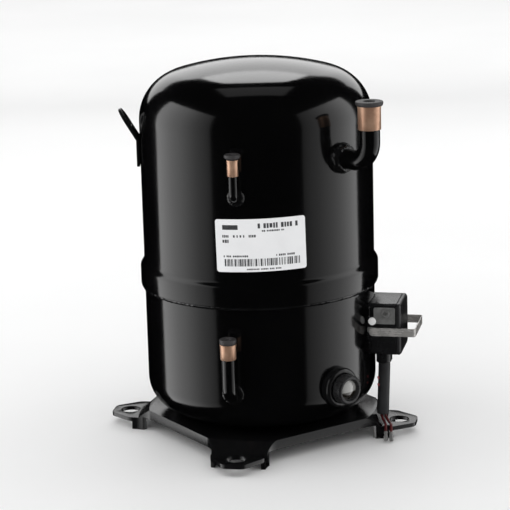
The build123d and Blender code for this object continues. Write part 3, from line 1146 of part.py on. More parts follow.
muffler_top = FIXED_TOP + MUFFLER_HEIGHT
outlet_height = FIXED_TOP + MUFFLER_HEIGHT / 2
muffler_bore = MUFFLER_RADIUS - MUFFLER_WALL
with BuildPart() as discharge_muffler:
    with BuildSketch(Plane.XZ):
        with BuildLine():
            Polyline((0, muffler_top - MUFFLER_WALL),
                     (muffler_bore - MUFFLER_CORNER, muffler_top - MUFFLER_WALL),
                     (muffler_bore, muffler_top - MUFFLER_CORNER - MUFFLER_WALL), (muffler_bore, FIXED_TOP),
                     (MUFFLER_RADIUS + MUFFLER_FLANGE, FIXED_TOP),
                     (MUFFLER_RADIUS + MUFFLER_FLANGE, FIXED_TOP + MUFFLER_WALL),
                     (MUFFLER_RADIUS, FIXED_TOP + MUFFLER_WALL),
                     (MUFFLER_RADIUS, muffler_top - MUFFLER_CORNER),
                     (MUFFLER_RADIUS - MUFFLER_CORNER, muffler_top), (0, muffler_top), close=True)
        make_face()
    revolve(axis=Axis.Z)
    add(radial_cutter(line_azimuth, outlet_height, LINE_RADIUS + SEAT_FIT, MUFFLER_RADIUS - 10,
                      MUFFLER_RADIUS + SMALL), mode=Mode.SUBTRACT)
discharge_muffler.part.label = "discharge_muffler"
export_step(discharge_muffler.part, "parts/discharge_muffler.step")

with BuildPart() as discharge_line:
    with BuildLine(standing_plane(line_azimuth)) as line_route:
        FilletPolyline((MUFFLER_RADIUS - 4, outlet_height), (LINE_REACH, outlet_height),
                       (LINE_REACH, LOWER_PLATE_BOTTOM - 2), radius=LINE_BEND)
    with BuildSketch(facing_plane(line_azimuth, MUFFLER_RADIUS - 4, outlet_height)):
        Circle(LINE_RADIUS)
        Circle(LINE_RADIUS - 1, mode=Mode.SUBTRACT)
    sweep(path=line_route.line)
discharge_line.part.label = "discharge_line"
export_step(discharge_line.part, "parts/discharge_line.step")

# ---------------------------------------------------------------- motor leads
for lead_name, lead_places in LEAD_ROUTES.items():
    lead_points = [box_place(*place) for place in lead_places]
    lead_radii = cord_radii(lead_points)
    with BuildPart() as lead:
        with BuildLine() as lead_route:
            FilletPolyline(*lead_points, radius=lead_radii)
        with BuildSketch(Plane(origin=lead_points[0], z_dir=lead_points[1] - lead_points[0])):
            Circle(LEAD_RADIUS)
        sweep(path=lead_route.line)
    lead_length = sum(edge.length for edge in lead_route.edges())
    lead_section = math.pi * LEAD_RADIUS ** 2
    print(lead_name, "length", round(lead_length, 1), "radii", [round(radius, 1) for radius in lead_radii])
    print(lead_name, "volume over section times length",
          round(lead.part.volume / (lead_section * lead_length), 3))
    lead.part.label = lead_name
    export_step(lead.part, f"parts/{lead_name}.step")

with BuildPart() as lead_connectors:
    for lead_places in LEAD_ROUTES.values():
        tail = box_place(*lead_places[-1])
        heading = (tail - box_place(*lead_places[-2])).normalized()
        with BuildSketch(Plane(origin=tail, z_dir=heading)):
            Circle(CONNECTOR_RADIUS)
        extrude(amount=CONNECTOR_LENGTH)
lead_connectors.part.label = "lead_connectors"
export_step(lead_connectors.part, "parts/lead_connectors.step")
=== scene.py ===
"""Finishes, welds, caps, terminal box, label, studio and camera of a welded hermetic compressor.

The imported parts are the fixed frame. Outer pieces are modelled again in finer detail, and every other
part keeps its shape and gets its finish. Sizes in the classes are in millimetres, azimuths in degrees
about the shell's axis, where 0 points to -Y and 90 to +X.
"""

import logging
import math
import random
from dataclasses import dataclass
from enum import Enum

import bpy
from mathutils import Matrix, Vector


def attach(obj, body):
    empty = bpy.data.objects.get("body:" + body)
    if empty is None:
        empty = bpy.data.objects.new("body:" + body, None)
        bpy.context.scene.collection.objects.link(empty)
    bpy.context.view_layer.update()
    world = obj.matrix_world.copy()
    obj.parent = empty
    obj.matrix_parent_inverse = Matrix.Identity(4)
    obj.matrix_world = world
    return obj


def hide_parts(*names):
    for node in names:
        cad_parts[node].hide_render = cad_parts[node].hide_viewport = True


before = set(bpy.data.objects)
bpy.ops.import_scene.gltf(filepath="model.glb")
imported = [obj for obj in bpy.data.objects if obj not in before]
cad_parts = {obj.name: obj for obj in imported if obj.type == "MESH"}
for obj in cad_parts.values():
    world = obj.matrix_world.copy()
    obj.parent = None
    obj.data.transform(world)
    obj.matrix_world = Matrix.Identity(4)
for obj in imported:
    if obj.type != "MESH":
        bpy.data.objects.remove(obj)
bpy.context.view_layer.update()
LOG = logging.getLogger("compressor")
MM = 0.001
SHELL_RADIUS = 111.0
BOX_AZIMUTH = 44.0
VIEW_HEADING = -33.7
Points = list[tuple[float, float]]


def outward(azimuth: float) -> Vector:
    """Unit vector that points out of the shell at an azimuth."""
    angle = math.radians(azimuth)
    return Vector((math.sin(angle), -math.cos(angle), 0.0))


def sideways(azimuth: float) -> Vector:
    """Unit vector along the shell's surface at an azimuth."""
    angle = math.radians(azimuth)
    return Vector((math.cos(angle), math.sin(angle), 0.0))


def standing(azimuth: float, reach: float = 0.0, side: float = 0.0, height: float = 0.0) -> Matrix:
    """Place whose X points outward, Y sideways and Z up.

    Args:
        azimuth: Where it stands round the shell.
        reach: Distance from the shell's axis.
        side: Distance sideways.
        height: Height above the floor.

    Returns:
        The place as a matrix in metres.
    """
    x, y = outward(azimuth), sideways(azimuth)
    turn = Matrix((x, y, Vector((0, 0, 1)))).transposed().to_4x4()
    turn.translation = (x * reach + y * side + Vector((0, 0, height))) * MM
    return turn


def facing(azimuth: float, reach: float, side: float = 0.0, height: float = 0.0) -> Matrix:
    """Place whose X points sideways, Y up and Z outward; the arguments are as for standing."""
    x, z = sideways(azimuth), outward(azimuth)
    turn = Matrix((x, Vector((0, 0, 1)), z)).transposed().to_4x4()
    turn.translation = (z * reach + x * side + Vector((0, 0, height))) * MM
    return turn


class Grain(Enum):
    """How far a finish's fine relief is drawn out along X, Y and Z."""

    EVEN = (1.0, 1.0, 1.0)
    UPRIGHT = (1.0, 1.0, 0.05)
    LEVEL = (0.06, 0.06, 1.0)
    STACKED = (0.01, 0.01, 1.0)


@dataclass(frozen=True)
class Finish:
    """One surface finish; frequencies are per metre."""

    name: str
    colour: tuple[float, float, float]
    shade: tuple[float, float, float]
    low: float
    high: float
    metal: float = 0.0
    grain: Grain = Grain.EVEN
    broad: float = 35.0
    fine: float = 900.0
    relief: float = 0.1
    depth: float = 0.1
    coat: float = 0.0

    def material(self) -> bpy.types.Material:
        """The finish as a node material, made once."""
        ready = bpy.data.materials.get(self.name)
        if ready:
            return ready
        material = bpy.data.materials.new(self.name)
        material.use_nodes = True
        material.diffuse_color = (*self.colour, 1.0)
        tree = material.node_tree
        shader = tree.nodes["Principled BSDF"]
        shader.inputs["Metallic"].default_value = self.metal
        shader.inputs["Coat Weight"].default_value = self.coat
        shader.inputs["Coat Roughness"].default_value = 0.06
        coords = tree.nodes.new("ShaderNodeTexCoord")
        mapping = tree.nodes.new("ShaderNodeMapping")
        mapping.inputs["Scale"].default_value = self.grain.value
        tree.links.new(coords.outputs["Object"], mapping.inputs["Vector"])
        patches = self.noise(tree, coords.outputs["Object"], self.broad, 5.0)
        grain = self.noise(tree, mapping.outputs["Vector"], self.fine, 3.0)
        self.colour_link(tree, shader, coords, patches, grain)
        both = tree.nodes.new("ShaderNodeMath")
        both.operation = "MULTIPLY_ADD"
        both.inputs[1].default_value = 0.5
        half = tree.nodes.new("ShaderNodeMath")
        half.operation = "MULTIPLY"
        half.inputs[1].default_value = 0.5
        tree.links.new(grain.outputs["Fac"], half.inputs[0])
        tree.links.new(patches.outputs["Fac"], both.inputs[0])
        tree.links.new(half.outputs["Value"], both.inputs[2])
        spread = tree.nodes.new("ShaderNodeMapRange")
        spread.inputs["From Min"].default_value = 0.3
        spread.inputs["From Max"].default_value = 0.7
        spread.inputs["To Min"].default_value = self.low
        spread.inputs["To Max"].default_value = self.high
        tree.links.new(both.outputs["Value"], spread.inputs["Value"])
        tree.links.new(spread.outputs["Result"], shader.inputs["Roughness"])
        bump = tree.nodes.new("ShaderNodeBump")
        bump.inputs["Strength"].default_value = self.relief
        bump.inputs["Distance"].default_value = self.depth * MM
        tree.links.new(grain.outputs["Fac"], bump.inputs["Height"])
        tree.links.new(bump.outputs["Normal"], shader.inputs["Normal"])
        return material

    def noise(self, tree: bpy.types.NodeTree, vector: bpy.types.NodeSocket, scale: float,
              detail: float) -> bpy.types.Node:
        """A noise texture node of a frequency, read at the given coordinates."""
        node = tree.nodes.new("ShaderNodeTexNoise")
        node.inputs["Scale"].default_value = scale
        node.inputs["Detail"].default_value = detail
        tree.links.new(vector, node.inputs["Vector"])
        return node

    def colour_link(self, tree: bpy.types.NodeTree, shader: bpy.types.Node, coords: bpy.types.Node,
                    patches: bpy.types.Node, grain: bpy.types.Node) -> None:
        """Lead the mottled colour into the shader.

        Args:
            tree: The material's nodes.
            shader: The surface shader.
            coords: The texture coordinates.
            patches: The broad noise.
            grain: The fine noise.
        """
        ramp = tree.nodes.new("ShaderNodeValToRGB")
        ramp.color_ramp.elements[0].position = 0.36
        ramp.color_ramp.elements[0].color = (*self.shade, 1.0)
        ramp.color_ramp.elements[1].position = 0.62
        ramp.color_ramp.elements[1].color = (*self.colour, 1.0)
        tree.links.new(patches.outputs["Fac"], ramp.inputs["Fac"])
        tree.links.new(ramp.outputs["Color"], shader.inputs["Base Color"])


@dataclass(frozen=True)
class LevelFinish(Finish):
    """A finish in two bands that meet at a height, such as oil behind a window."""

    level: float = 0.0
    above: tuple[float, float, float] = (0.5, 0.5, 0.5)
    blur: float = 0.6

    def colour_link(self, tree: bpy.types.NodeTree, shader: bpy.types.Node, coords: bpy.types.Node,
                    patches: bpy.types.Node, grain: bpy.types.Node) -> None:
        """Lead a colour that changes at the level; the arguments are as for Finish."""
        split = tree.nodes.new("ShaderNodeSeparateXYZ")
        tree.links.new(coords.outputs["Object"], split.inputs["Vector"])
        wave = tree.nodes.new("ShaderNodeMath")
        wave.operation = "MULTIPLY_ADD"
        wave.inputs[1].default_value = self.blur * MM
        tree.links.new(patches.outputs["Fac"], wave.inputs[0])
        tree.links.new(split.outputs["Z"], wave.inputs[2])
        step = tree.nodes.new("ShaderNodeMapRange")
        step.inputs["From Min"].default_value = (self.level - self.blur) * MM
        step.inputs["From Max"].default_value = (self.level + self.blur) * MM
        tree.links.new(wave.outputs["Value"], step.inputs["Value"])
        ramp = tree.nodes.new("ShaderNodeValToRGB")
        ramp.color_ramp.elements[0].color = (*self.colour, 1.0)
        ramp.color_ramp.elements[1].color = (*self.above, 1.0)
        middle = ramp.color_ramp.elements.new(0.5)
        middle.color = (*self.shade, 1.0)
        tree.links.new(step.outputs["Result"], ramp.inputs["Fac"])
        tree.links.new(ramp.outputs["Color"], shader.inputs["Base Color"])


ENAMEL = Finish("black_gloss_paint", (0.0022, 0.0022, 0.0024), (0.0015, 0.0015, 0.0016), 0.09, 0.15,
                broad=14.0, fine=240.0, relief=0.06, depth=0.12)
WELD_ENAMEL = Finish("painted_weld", (0.005, 0.005, 0.0055), (0.003, 0.003, 0.003), 0.1, 0.2,
                     broad=90.0, fine=620.0, relief=0.5, depth=0.4)
PRESSED_ENAMEL = Finish("painted_pressing", (0.006, 0.006, 0.0065), (0.004, 0.004, 0.0042), 0.14, 0.26,
                        broad=25.0, fine=420.0, relief=0.12, depth=0.15)
COPPER = Finish("copper", (0.74, 0.47, 0.32), (0.52, 0.30, 0.20), 0.26, 0.42, metal=0.62,
                grain=Grain.UPRIGHT, broad=70.0, fine=1800.0, relief=0.16, depth=0.05)
CAP = Finish("cap_rubber", (0.050, 0.047, 0.048), (0.036, 0.034, 0.035), 0.46, 0.62,
             broad=120.0, fine=1600.0, relief=0.2, depth=0.06)
BOSS = Finish("window_boss", (0.0075, 0.0075, 0.008), (0.005, 0.005, 0.005), 0.12, 0.24,
              broad=60.0, fine=900.0, relief=0.15, depth=0.08)
RING = Finish("window_ring", (0.030, 0.030, 0.031), (0.018, 0.018, 0.019), 0.2, 0.36, metal=0.3,
              grain=Grain.LEVEL, broad=90.0, fine=1500.0, relief=0.12, depth=0.04)
WINDOW = LevelFinish("sight_glass", (0.012, 0.010, 0.008), (0.10, 0.095, 0.085), 0.05, 0.1, broad=160.0,
                     fine=300.0, relief=0.04, depth=0.1, coat=1.0, level=63.0, above=(0.30, 0.30, 0.29))
LABEL = Finish("label_film", (0.90, 0.905, 0.915), (0.86, 0.865, 0.875), 0.32, 0.44,
               broad=40.0, fine=1300.0, relief=0.05, depth=0.03)
INK = Finish("label_ink", (0.035, 0.036, 0.04), (0.075, 0.076, 0.08), 0.4, 0.55,
             broad=700.0, fine=3000.0, relief=0.1, depth=0.02)
BOX = Finish("box_plastic", (0.010, 0.010, 0.011), (0.007, 0.007, 0.0075), 0.2, 0.32,
             broad=45.0, fine=1400.0, relief=0.12, depth=0.05)
COVER = Finish("cover_plastic", (0.020, 0.020, 0.021), (0.015, 0.015, 0.016), 0.24, 0.36,
               broad=45.0, fine=1700.0, relief=0.16, depth=0.05)
STRAP = Finish("spring_steel", (0.62, 0.60, 0.58), (0.50, 0.49, 0.47), 0.2, 0.34, metal=0.55,
               grain=Grain.LEVEL, broad=80.0, fine=2200.0, relief=0.14, depth=0.03)
PLATED = Finish("plated_steel", (0.30, 0.30, 0.295), (0.20, 0.20, 0.195), 0.28, 0.44, metal=0.5,
                broad=150.0, fine=1800.0, relief=0.2, depth=0.04)
SLEEVE = Finish("sleeve_rubber", (0.030, 0.031, 0.033), (0.022, 0.022, 0.024), 0.5, 0.68,
                grain=Grain.UPRIGHT, broad=110.0, fine=1500.0, relief=0.3, depth=0.08)
LEAD = Finish("lead_insulation", (0.11, 0.011, 0.011), (0.07, 0.007, 0.008), 0.34, 0.5,
              broad=220.0, fine=1800.0, relief=0.12, depth=0.03)
MARK = Finish("paint_mark", (0.55, 0.10, 0.11), (0.42, 0.07, 0.08), 0.4, 0.55,
              broad=400.0, fine=1500.0, relief=0.2, depth=0.05)
STICKER = Finish("round_sticker", (0.86, 0.86, 0.85), (0.80, 0.80, 0.79), 0.4, 0.5,
                 broad=200.0, fine=1500.0, relief=0.08, depth=0.03)
IRON = Finish("cast_iron", (0.16, 0.16, 0.165), (0.10, 0.10, 0.10), 0.42, 0.6, metal=0.9,
              broad=60.0, fine=700.0, relief=0.4, depth=0.2)
GROUND = Finish("ground_steel", (0.60, 0.60, 0.61), (0.50, 0.50, 0.51), 0.16, 0.3, metal=1.0,
                grain=Grain.LEVEL, broad=60.0, fine=2400.0, relief=0.12, depth=0.03)
BRONZE = Finish("bearing_bronze", (0.62, 0.42, 0.2), (0.5, 0.32, 0.14), 0.24, 0.38, metal=1.0,
                grain=Grain.LEVEL, broad=80.0, fine=1800.0, relief=0.12, depth=0.03)
SINTERED = Finish("sintered_steel", (0.34, 0.34, 0.35), (0.26, 0.26, 0.27), 0.38, 0.54, metal=1.0,
                  broad=120.0, fine=2000.0, relief=0.3, depth=0.05)
SEAL = Finish("tip_seal_polymer", (0.26, 0.22, 0.16), (0.2, 0.17, 0.12), 0.5, 0.64,
              broad=150.0, fine=1500.0, relief=0.15, depth=0.04)
STACK = Finish("core_steel", (0.30, 0.31, 0.33), (0.22, 0.22, 0.23), 0.34, 0.5, metal=1.0,
               grain=Grain.STACKED, broad=50.0, fine=2000.0, relief=0.6, depth=0.2)
ALUMINIUM = Finish("cage_aluminium", (0.72, 0.72, 0.74), (0.6, 0.6, 0.62), 0.36, 0.52, metal=1.0,
                   broad=90.0, fine=900.0, relief=0.25, depth=0.1)
WINDING = Finish("winding_copper", (0.55, 0.22, 0.09), (0.40, 0.15, 0.06), 0.26, 0.42, metal=0.8,
                 grain=Grain.UPRIGHT, broad=200.0, fine=1100.0, relief=0.8, depth=0.5)
PRESSED = Finish("pressed_steel", (0.42, 0.42, 0.43), (0.33, 0.33, 0.34), 0.3, 0.48, metal=1.0,
                 broad=70.0, fine=1200.0, relief=0.15, depth=0.05)
CARRIED = (ENAMEL, COPPER, CAP, WINDOW, LABEL, BOX, COVER, STRAP, PLATED, SLEEVE, LEAD, IRON, GROUND,
           BRONZE, SINTERED, SEAL, STACK, ALUMINIUM, WINDING, PRESSED)


class Bench:
    """Modelling moves that the sub-assemblies share."""

    @staticmethod
    def clear() -> None:
        """Leave edit mode and deselect everything."""
        if bpy.context.object and bpy.context.object.mode != "OBJECT":
            bpy.ops.object.mode_set(mode="OBJECT")
        bpy.ops.object.select_all(action="DESELECT")

    @staticmethod
    def take(piece: bpy.types.Object) -> None:
        """Select one piece alone and make it active."""
        Bench.clear()
        piece.select_set(True)
        bpy.context.view_layer.objects.active = piece

    @staticmethod
    def arc(centre: tuple[float, float], radius: float, first: float, last: float, steps: int) -> Points:
        """Points on an arc.

        Args:
            centre: Its middle as (radius, height).
            radius: Its radius.
            first: Angle of the first point, from the outward direction towards up.
            last: Angle of the last point.
            steps: How many steps lie between them.

        Returns:
            The points in order.
        """
        turn = [math.radians(first + (last - first) * step / steps) for step in range(steps + 1)]
        return [(centre[0] + radius * math.cos(a), centre[1] + radius * math.sin(a)) for a in turn]

    @staticmethod
    def close(threshold: float = 0.002) -> None:
        """Merge the edited mesh's doubles and turn its faces outwards."""
        bpy.ops.mesh.select_all(action="SELECT")
        bpy.ops.mesh.remove_doubles(threshold=threshold * MM)
        bpy.ops.mesh.normals_make_consistent(inside=False)
        bpy.ops.object.mode_set(mode="OBJECT")

    @staticmethod
    def turned(name: str, profile: Points, steps: int = 72) -> bpy.types.Object:
        """A piece turned about Z from a profile that is drawn point by point.

        Args:
            name: The piece's name.
            profile: Points as (radius, height), closed or ending on the axis.
            steps: How many steps the turn has.

        Returns:
            The turned piece.
        """
        Bench.clear()
        radius, height = profile[0]
        bpy.ops.mesh.primitive_plane_add(size=MM, location=(radius * MM, 0, height * MM))
        piece = bpy.context.object
        piece.name = name
        bpy.ops.object.mode_set(mode="EDIT")
        bpy.ops.mesh.merge(type="CENTER")
        for (before, low), (after, high) in zip(profile, profile[1:]):
            step = ((after - before) * MM, 0, (high - low) * MM)
            bpy.ops.mesh.extrude_vertices_move(TRANSFORM_OT_translate={"value": step})
        bpy.ops.mesh.select_all(action="SELECT")
        bpy.ops.mesh.spin(steps=steps, angle=math.tau, center=(0, 0, 0), axis=(0, 0, 1))
        Bench.close()
        bpy.ops.object.transform_apply(location=True, rotation=True, scale=True)
        return piece

    @staticmethod
    def slab(name: str, width: float, height: float, thickness: float, corner: float) -> bpy.types.Object:
        """A flat plate with rounded corners, in X and Y, with its back on Z 0."""
        Bench.clear()
        bpy.ops.mesh.primitive_plane_add(size=MM)
        piece = bpy.context.object
        piece.name = name
        piece.scale = (width, height, 1)
        bpy.ops.object.transform_apply(location=False, rotation=False, scale=True)
        bpy.ops.object.mode_set(mode="EDIT")
        bpy.ops.mesh.select_all(action="SELECT")
        if corner:
            bpy.ops.mesh.bevel(affect="VERTICES", offset=corner * MM, segments=6)
            bpy.ops.mesh.select_all(action="SELECT")
        bpy.ops.mesh.extrude_region_move(TRANSFORM_OT_translate={"value": (0, 0, thickness * MM)})
        Bench.close()
        return piece

    @staticmethod
    def soften(piece: bpy.types.Object, width: float, segments: int = 3, angle: float = 32.0) -> None:
        """Round a piece's sharp edges by a width."""
        Bench.take(piece)
        bevel = piece.modifiers.new("ease", "BEVEL")
        bevel.width = width * MM
        bevel.segments = segments
        bevel.limit_method = "ANGLE"
        bevel.angle_limit = math.radians(angle)
        bpy.ops.object.modifier_apply(modifier=bevel.name)

    @staticmethod
    def lump(piece: bpy.types.Object, size: float, depth: float) -> None:
        """Work a piece's surface into lumps of a size and depth, as a weld bead has."""
        Bench.take(piece)
        texture = bpy.data.textures.new(f"{piece.name}_lumps", "CLOUDS")
        texture.noise_scale = size * MM
        displace = piece.modifiers.new("lumps", "DISPLACE")
        displace.texture = texture
        displace.strength = depth * MM
        bpy.ops.object.modifier_apply(modifier=displace.name)
        bpy.data.textures.remove(texture)

    @staticmethod
    def smooth(piece: bpy.types.Object, angle: float = 38.0) -> None:
        """Shade a piece smooth, with its sharp edges kept."""
        Bench.take(piece)
        bpy.ops.object.shade_smooth_by_angle(angle=math.radians(angle))

    @staticmethod
    def put(piece: bpy.types.Object, place: Matrix) -> None:
        """Move a piece to its place and apply that to its mesh."""
        Bench.take(piece)
        piece.matrix_world = place
        bpy.ops.object.transform_apply(location=True, rotation=True, scale=True)

    @staticmethod
    def eased(node: str, width: float, segments: int = 3, angle: float = 32.0) -> bpy.types.Object:
        """A merged copy of a carried part with its edges rounded.

        Args:
            node: The part's name.
            width: How wide its edges are rounded.
            segments: How many steps the rounding has.
            angle: Edges sharper than this are rounded.

        Returns:
            The copy, shaded smooth.
        """
        piece = bpy.data.objects.new(f"{node}_detailed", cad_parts[node].data.copy())
        bpy.context.collection.objects.link(piece)
        Bench.take(piece)
        bpy.ops.mesh.customdata_custom_splitnormals_clear()
        bpy.ops.object.mode_set(mode="EDIT")
        bpy.ops.mesh.select_all(action="SELECT")
        bpy.ops.mesh.remove_doubles(threshold=0.004 * MM)
        bpy.ops.mesh.dissolve_limited(angle_limit=math.radians(0.6))
        Bench.close()
        Bench.soften(piece, width, segments, angle)
        Bench.smooth(piece)
        return piece

    @staticmethod
    def publish(piece: bpy.types.Object, finish: Finish, body: str, slot: str, *nodes: str) -> None:
        """Dress a finished piece, hang it on its body and hide the carried parts that it stands for.

        Args:
            piece: The piece.
            finish: Its finish.
            body: The body that it rides on.
            slot: The record's material slot; not used.
            nodes: The carried parts that it stands for.
        """
        piece.data.materials.clear()
        piece.data.materials.append(finish.material())
        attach(piece, body)
        if nodes:
            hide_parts(*nodes)
        count = len(piece.data.polygons) if piece.type == "MESH" else 0
        LOG.info("%s rides on %s with %d faces", piece.name, body, count)


@dataclass
class Camera:
    """The view: a long lens held a little above the dome's height."""

    place: tuple[float, float, float] = (-1.0906, -1.6353, 0.6564)
    lens: float = 147.7
    heading: float = VIEW_HEADING
    yaw: float = -0.12
    pitch: float = 13.81
    roll: float = -1.54

    def build(self) -> None:
        """Stand the camera at its place and make it the scene's camera."""
        right, ahead = sideways(self.heading), -outward(self.heading)
        yaw, pitch, roll = (math.radians(a) for a in (self.yaw, self.pitch, self.roll))
        level = ahead * math.cos(yaw) + right * math.sin(yaw)
        across = right * math.cos(yaw) - ahead * math.sin(yaw)
        look = level * math.cos(pitch) - Vector((0, 0, math.sin(pitch)))
        above = across.cross(look)
        x = across * math.cos(roll) + above * math.sin(roll)
        y = above * math.cos(roll) - across * math.sin(roll)
        data = bpy.data.cameras.new("camera")
        data.lens = self.lens
        data.sensor_width = 36.0
        camera = bpy.data.objects.new("camera", data)
        bpy.context.collection.objects.link(camera)
        turn = Matrix((x, y, -look)).transposed().to_4x4()
        turn.translation = Vector(self.place)
        camera.matrix_world = turn
        bpy.context.scene.camera = camera
        LOG.info("camera stands at %s", self.place)


@dataclass
class Studio:
    """Pale floor, white surroundings and softboxes; bearings are from the camera's side of the axis."""

    heading: float = VIEW_HEADING
    floor: float = 12000.0
    side_bearing: float = 78.0
    side_reach: float = 1700.0
    side_size: tuple[float, float] = (2300.0, 2800.0)
    side_height: float = 200.0
    right_glow: tuple[float, ...] = (0.25, 0.55, 1.0, 1.6, 2.0)
    left_glow: tuple[float, ...] = (0.35, 0.85, 1.7, 2.2, 2.4)
    back_reach: float = 1900.0
    back_size: tuple[float, float] = (3000.0, 860.0)
    back_height: float = 1030.0
    back_glow: tuple[float, ...] = (1.5, 1.6, 1.6, 1.6, 1.5)
    crown_size: tuple[float, float] = (760.0, 900.0)
    crown_height: float = 1910.0
    crown_glow: tuple[float, ...] = (2.9, 2.9)
    top_reach: float = -250.0
    top_height: float = 1700.0
    top_size: tuple[float, float] = (700.0, 900.0)
    top_glow: tuple[float, ...] = (0.35, 0.35)

    def panel(self, name: str, place: Matrix, size: tuple[float, float], glow: tuple[float, ...],
              mirrored: bool = False) -> None:
        """A softbox whose glow changes across its width.

        Args:
            name: Its name.
            place: Its place, with Z towards the back of the panel.
            size: Its width and height.
            glow: Strengths from one side to the other.
            mirrored: Whether the strengths run the other way.
        """
        Bench.clear()
        bpy.ops.mesh.primitive_plane_add(size=MM)
        plane = bpy.context.object
        plane.name = name
        plane.scale = (size[0], size[1], 1)
        bpy.ops.object.transform_apply(location=False, rotation=False, scale=True)
        plane.matrix_world = place
        material = bpy.data.materials.new(name)
        material.use_nodes = True
        tree = material.node_tree
        tree.nodes.clear()
        coords = tree.nodes.new("ShaderNodeTexCoord")
        split = tree.nodes.new("ShaderNodeSeparateXYZ")
        span = tree.nodes.new("ShaderNodeMapRange")
        half = size[0] * MM / 2
        span.inputs["From Min"].default_value = half if mirrored else -half
        span.inputs["From Max"].default_value = -half if mirrored else half
        ramp = tree.nodes.new("ShaderNodeValToRGB")
        ramp.color_ramp.elements[0].color = (glow[0], glow[0], glow[0], 1)
        ramp.color_ramp.elements[1].color = (glow[-1], glow[-1], glow[-1], 1)
        for number, level in enumerate(glow[1:-1], 1):
            element = ramp.color_ramp.elements.new(number / (len(glow) - 1))
            element.color = (level, level, level, 1)
        light = tree.nodes.new("ShaderNodeEmission")
        output = tree.nodes.new("ShaderNodeOutputMaterial")
        tree.links.new(coords.outputs["Object"], split.inputs["Vector"])
        tree.links.new(split.outputs["X"], span.inputs["Value"])
        tree.links.new(span.outputs["Result"], ramp.inputs["Fac"])
        tree.links.new(ramp.outputs["Color"], light.inputs["Color"])
        tree.links.new(light.outputs["Emission"], output.inputs["Surface"])
        plane.data.materials.append(material)
        plane.visible_camera = False
        plane.visible_shadow = False

    def build(self) -> None:
        """Lay the floor, whiten the surroundings and hang the softboxes."""
        Bench.clear()
        bpy.ops.mesh.primitive_plane_add(size=self.floor * MM)
        floor = bpy.context.object
        floor.name = "floor"
        paper = Finish("floor_paper", (0.93, 0.93, 0.93), (0.91, 0.91, 0.91), 0.8, 0.9,
                       broad=2.0, fine=60.0, relief=0.02)
        floor.data.materials.append(paper.material())
        floor.visible_glossy = False
        world = bpy.data.worlds.new("studio")
        bpy.context.scene.world = world
        world.use_nodes = True
        sky = world.node_tree.nodes["Background"]
        sky.inputs["Color"].default_value = (1, 1, 1, 1)
        sky.inputs["Strength"].default_value = 1.0
        world.cycles_visibility.glossy = False
        for name, bearing, glow in (("softbox_right", self.side_bearing, self.right_glow),
                                    ("softbox_left", -self.side_bearing, self.left_glow)):
            place = facing(self.heading + bearing, self.side_reach, 0, self.side_height)
            self.panel(name, place, self.side_size, glow, mirrored=bearing < 0)
        behind = self.heading + 180
        self.panel("softbox_back", facing(behind, self.back_reach, 0, self.back_height),
                   self.back_size, self.back_glow)
        self.panel("softbox_crown", facing(behind, self.back_reach, 0, self.crown_height),
                   self.crown_size, self.crown_glow)
        self.panel("softbox_top", standing(self.heading, self.top_reach, 0, self.top_height),
                   self.top_size, self.top_glow)
        view = bpy.context.scene.view_settings
        view.view_transform = "Standard"
        view.look = "None"
        LOG.info("studio is set")


@dataclass
class Leads:
    """Two motor leads that leave the sleeve's foot and end in crimped connectors."""

    azimuth: float = BOX_AZIMUTH
    radius: float = 1.3
    connector: float = 2.1
    connector_length: float = 9.0
    lengths: tuple[float, float] = (46.9, 44.5)
    routes: tuple[tuple[tuple[float, float, float], ...], ...] = (
        ((122.4, -7.8, 38.0), (122.0, -8.4, 20.5), (126.0, -13.5, 15.0), (130.0, -21.0, 14.2),
         (131.4, -28.6, 14.6), (131.8, -31.6, 9.5)),
        ((119.4, -7.6, 38.0), (118.9, -8.8, 21.5), (120.6, -14.5, 17.6), (124.4, -21.6, 15.6),
         (126.2, -29.0, 15.2), (126.6, -32.0, 10.0)))

    def place(self, point: tuple[float, float, float]) -> Vector:
        """A route point in metres in the row frame."""
        return (outward(self.azimuth) * point[0] + sideways(self.azimuth) * point[1]
                + Vector((0, 0, point[2]))) * MM

    def crimp(self, name: str, tail: Vector, heading: Vector) -> bpy.types.Object:
        """A sleeved connector on a lead's end.

        Args:
            name: Its name.
            tail: Where it starts.
            heading: The way it points.

        Returns:
            The connector.
        """
        r, long = self.connector, self.connector_length
        profile = [(self.radius * 0.9, -0.2), (r * 0.82, 0.0), (r * 0.9, 0.5), (r * 0.9, 2.2),
                   (r * 0.74, 2.7), (r * 0.74, 3.5), (r * 0.95, 4.1), (r, 4.6), (r, long - 0.7),
                   (r * 0.86, long - 0.1), (r * 0.6, long), (r * 0.5, long - 1.5), (0, long - 1.5)]
        piece = Bench.turned(name, [(0, -0.2), *profile], 32)
        Bench.soften(piece, 0.12, 2)
        Bench.smooth(piece)
        turn = Vector((0, 0, 1)).rotation_difference(heading).to_matrix().to_4x4()
        turn.translation = tail
        Bench.put(piece, turn)
        return piece

    def build(self) -> None:
        """Draw the leads along their routes and close them with connectors."""
        for number, (route, length) in enumerate(zip(self.routes, self.lengths), 1):
            points = [self.place(point) for point in route]
            curve = bpy.data.curves.new(f"lead_{number}", "CURVE")
            curve.dimensions = "3D"
            spline = curve.splines.new("NURBS")
            spline.points.add(len(points) - 1)
            for control, point in zip(spline.points, points):
                control.co = (*point, 1.0)
            spline.order_u = 3
            spline.use_endpoint_u = True
            spline.resolution_u = 10
            curve.bevel_depth = self.radius * MM
            curve.bevel_resolution = 5
            curve.use_fill_caps = True
            lead = bpy.data.objects.new(f"lead_{number}", curve)
            bpy.context.collection.objects.link(lead)
            heading = (points[-1] - points[-2]).normalized()
            crimp = self.crimp(f"lead_connector_{number}", points[-1], heading)
            Bench.publish(crimp, PLATED, "root", "plated_steel", "lead_connectors")
            Bench.publish(lead, LEAD, "root", "lead_insulation", f"motor_lead_{number}")


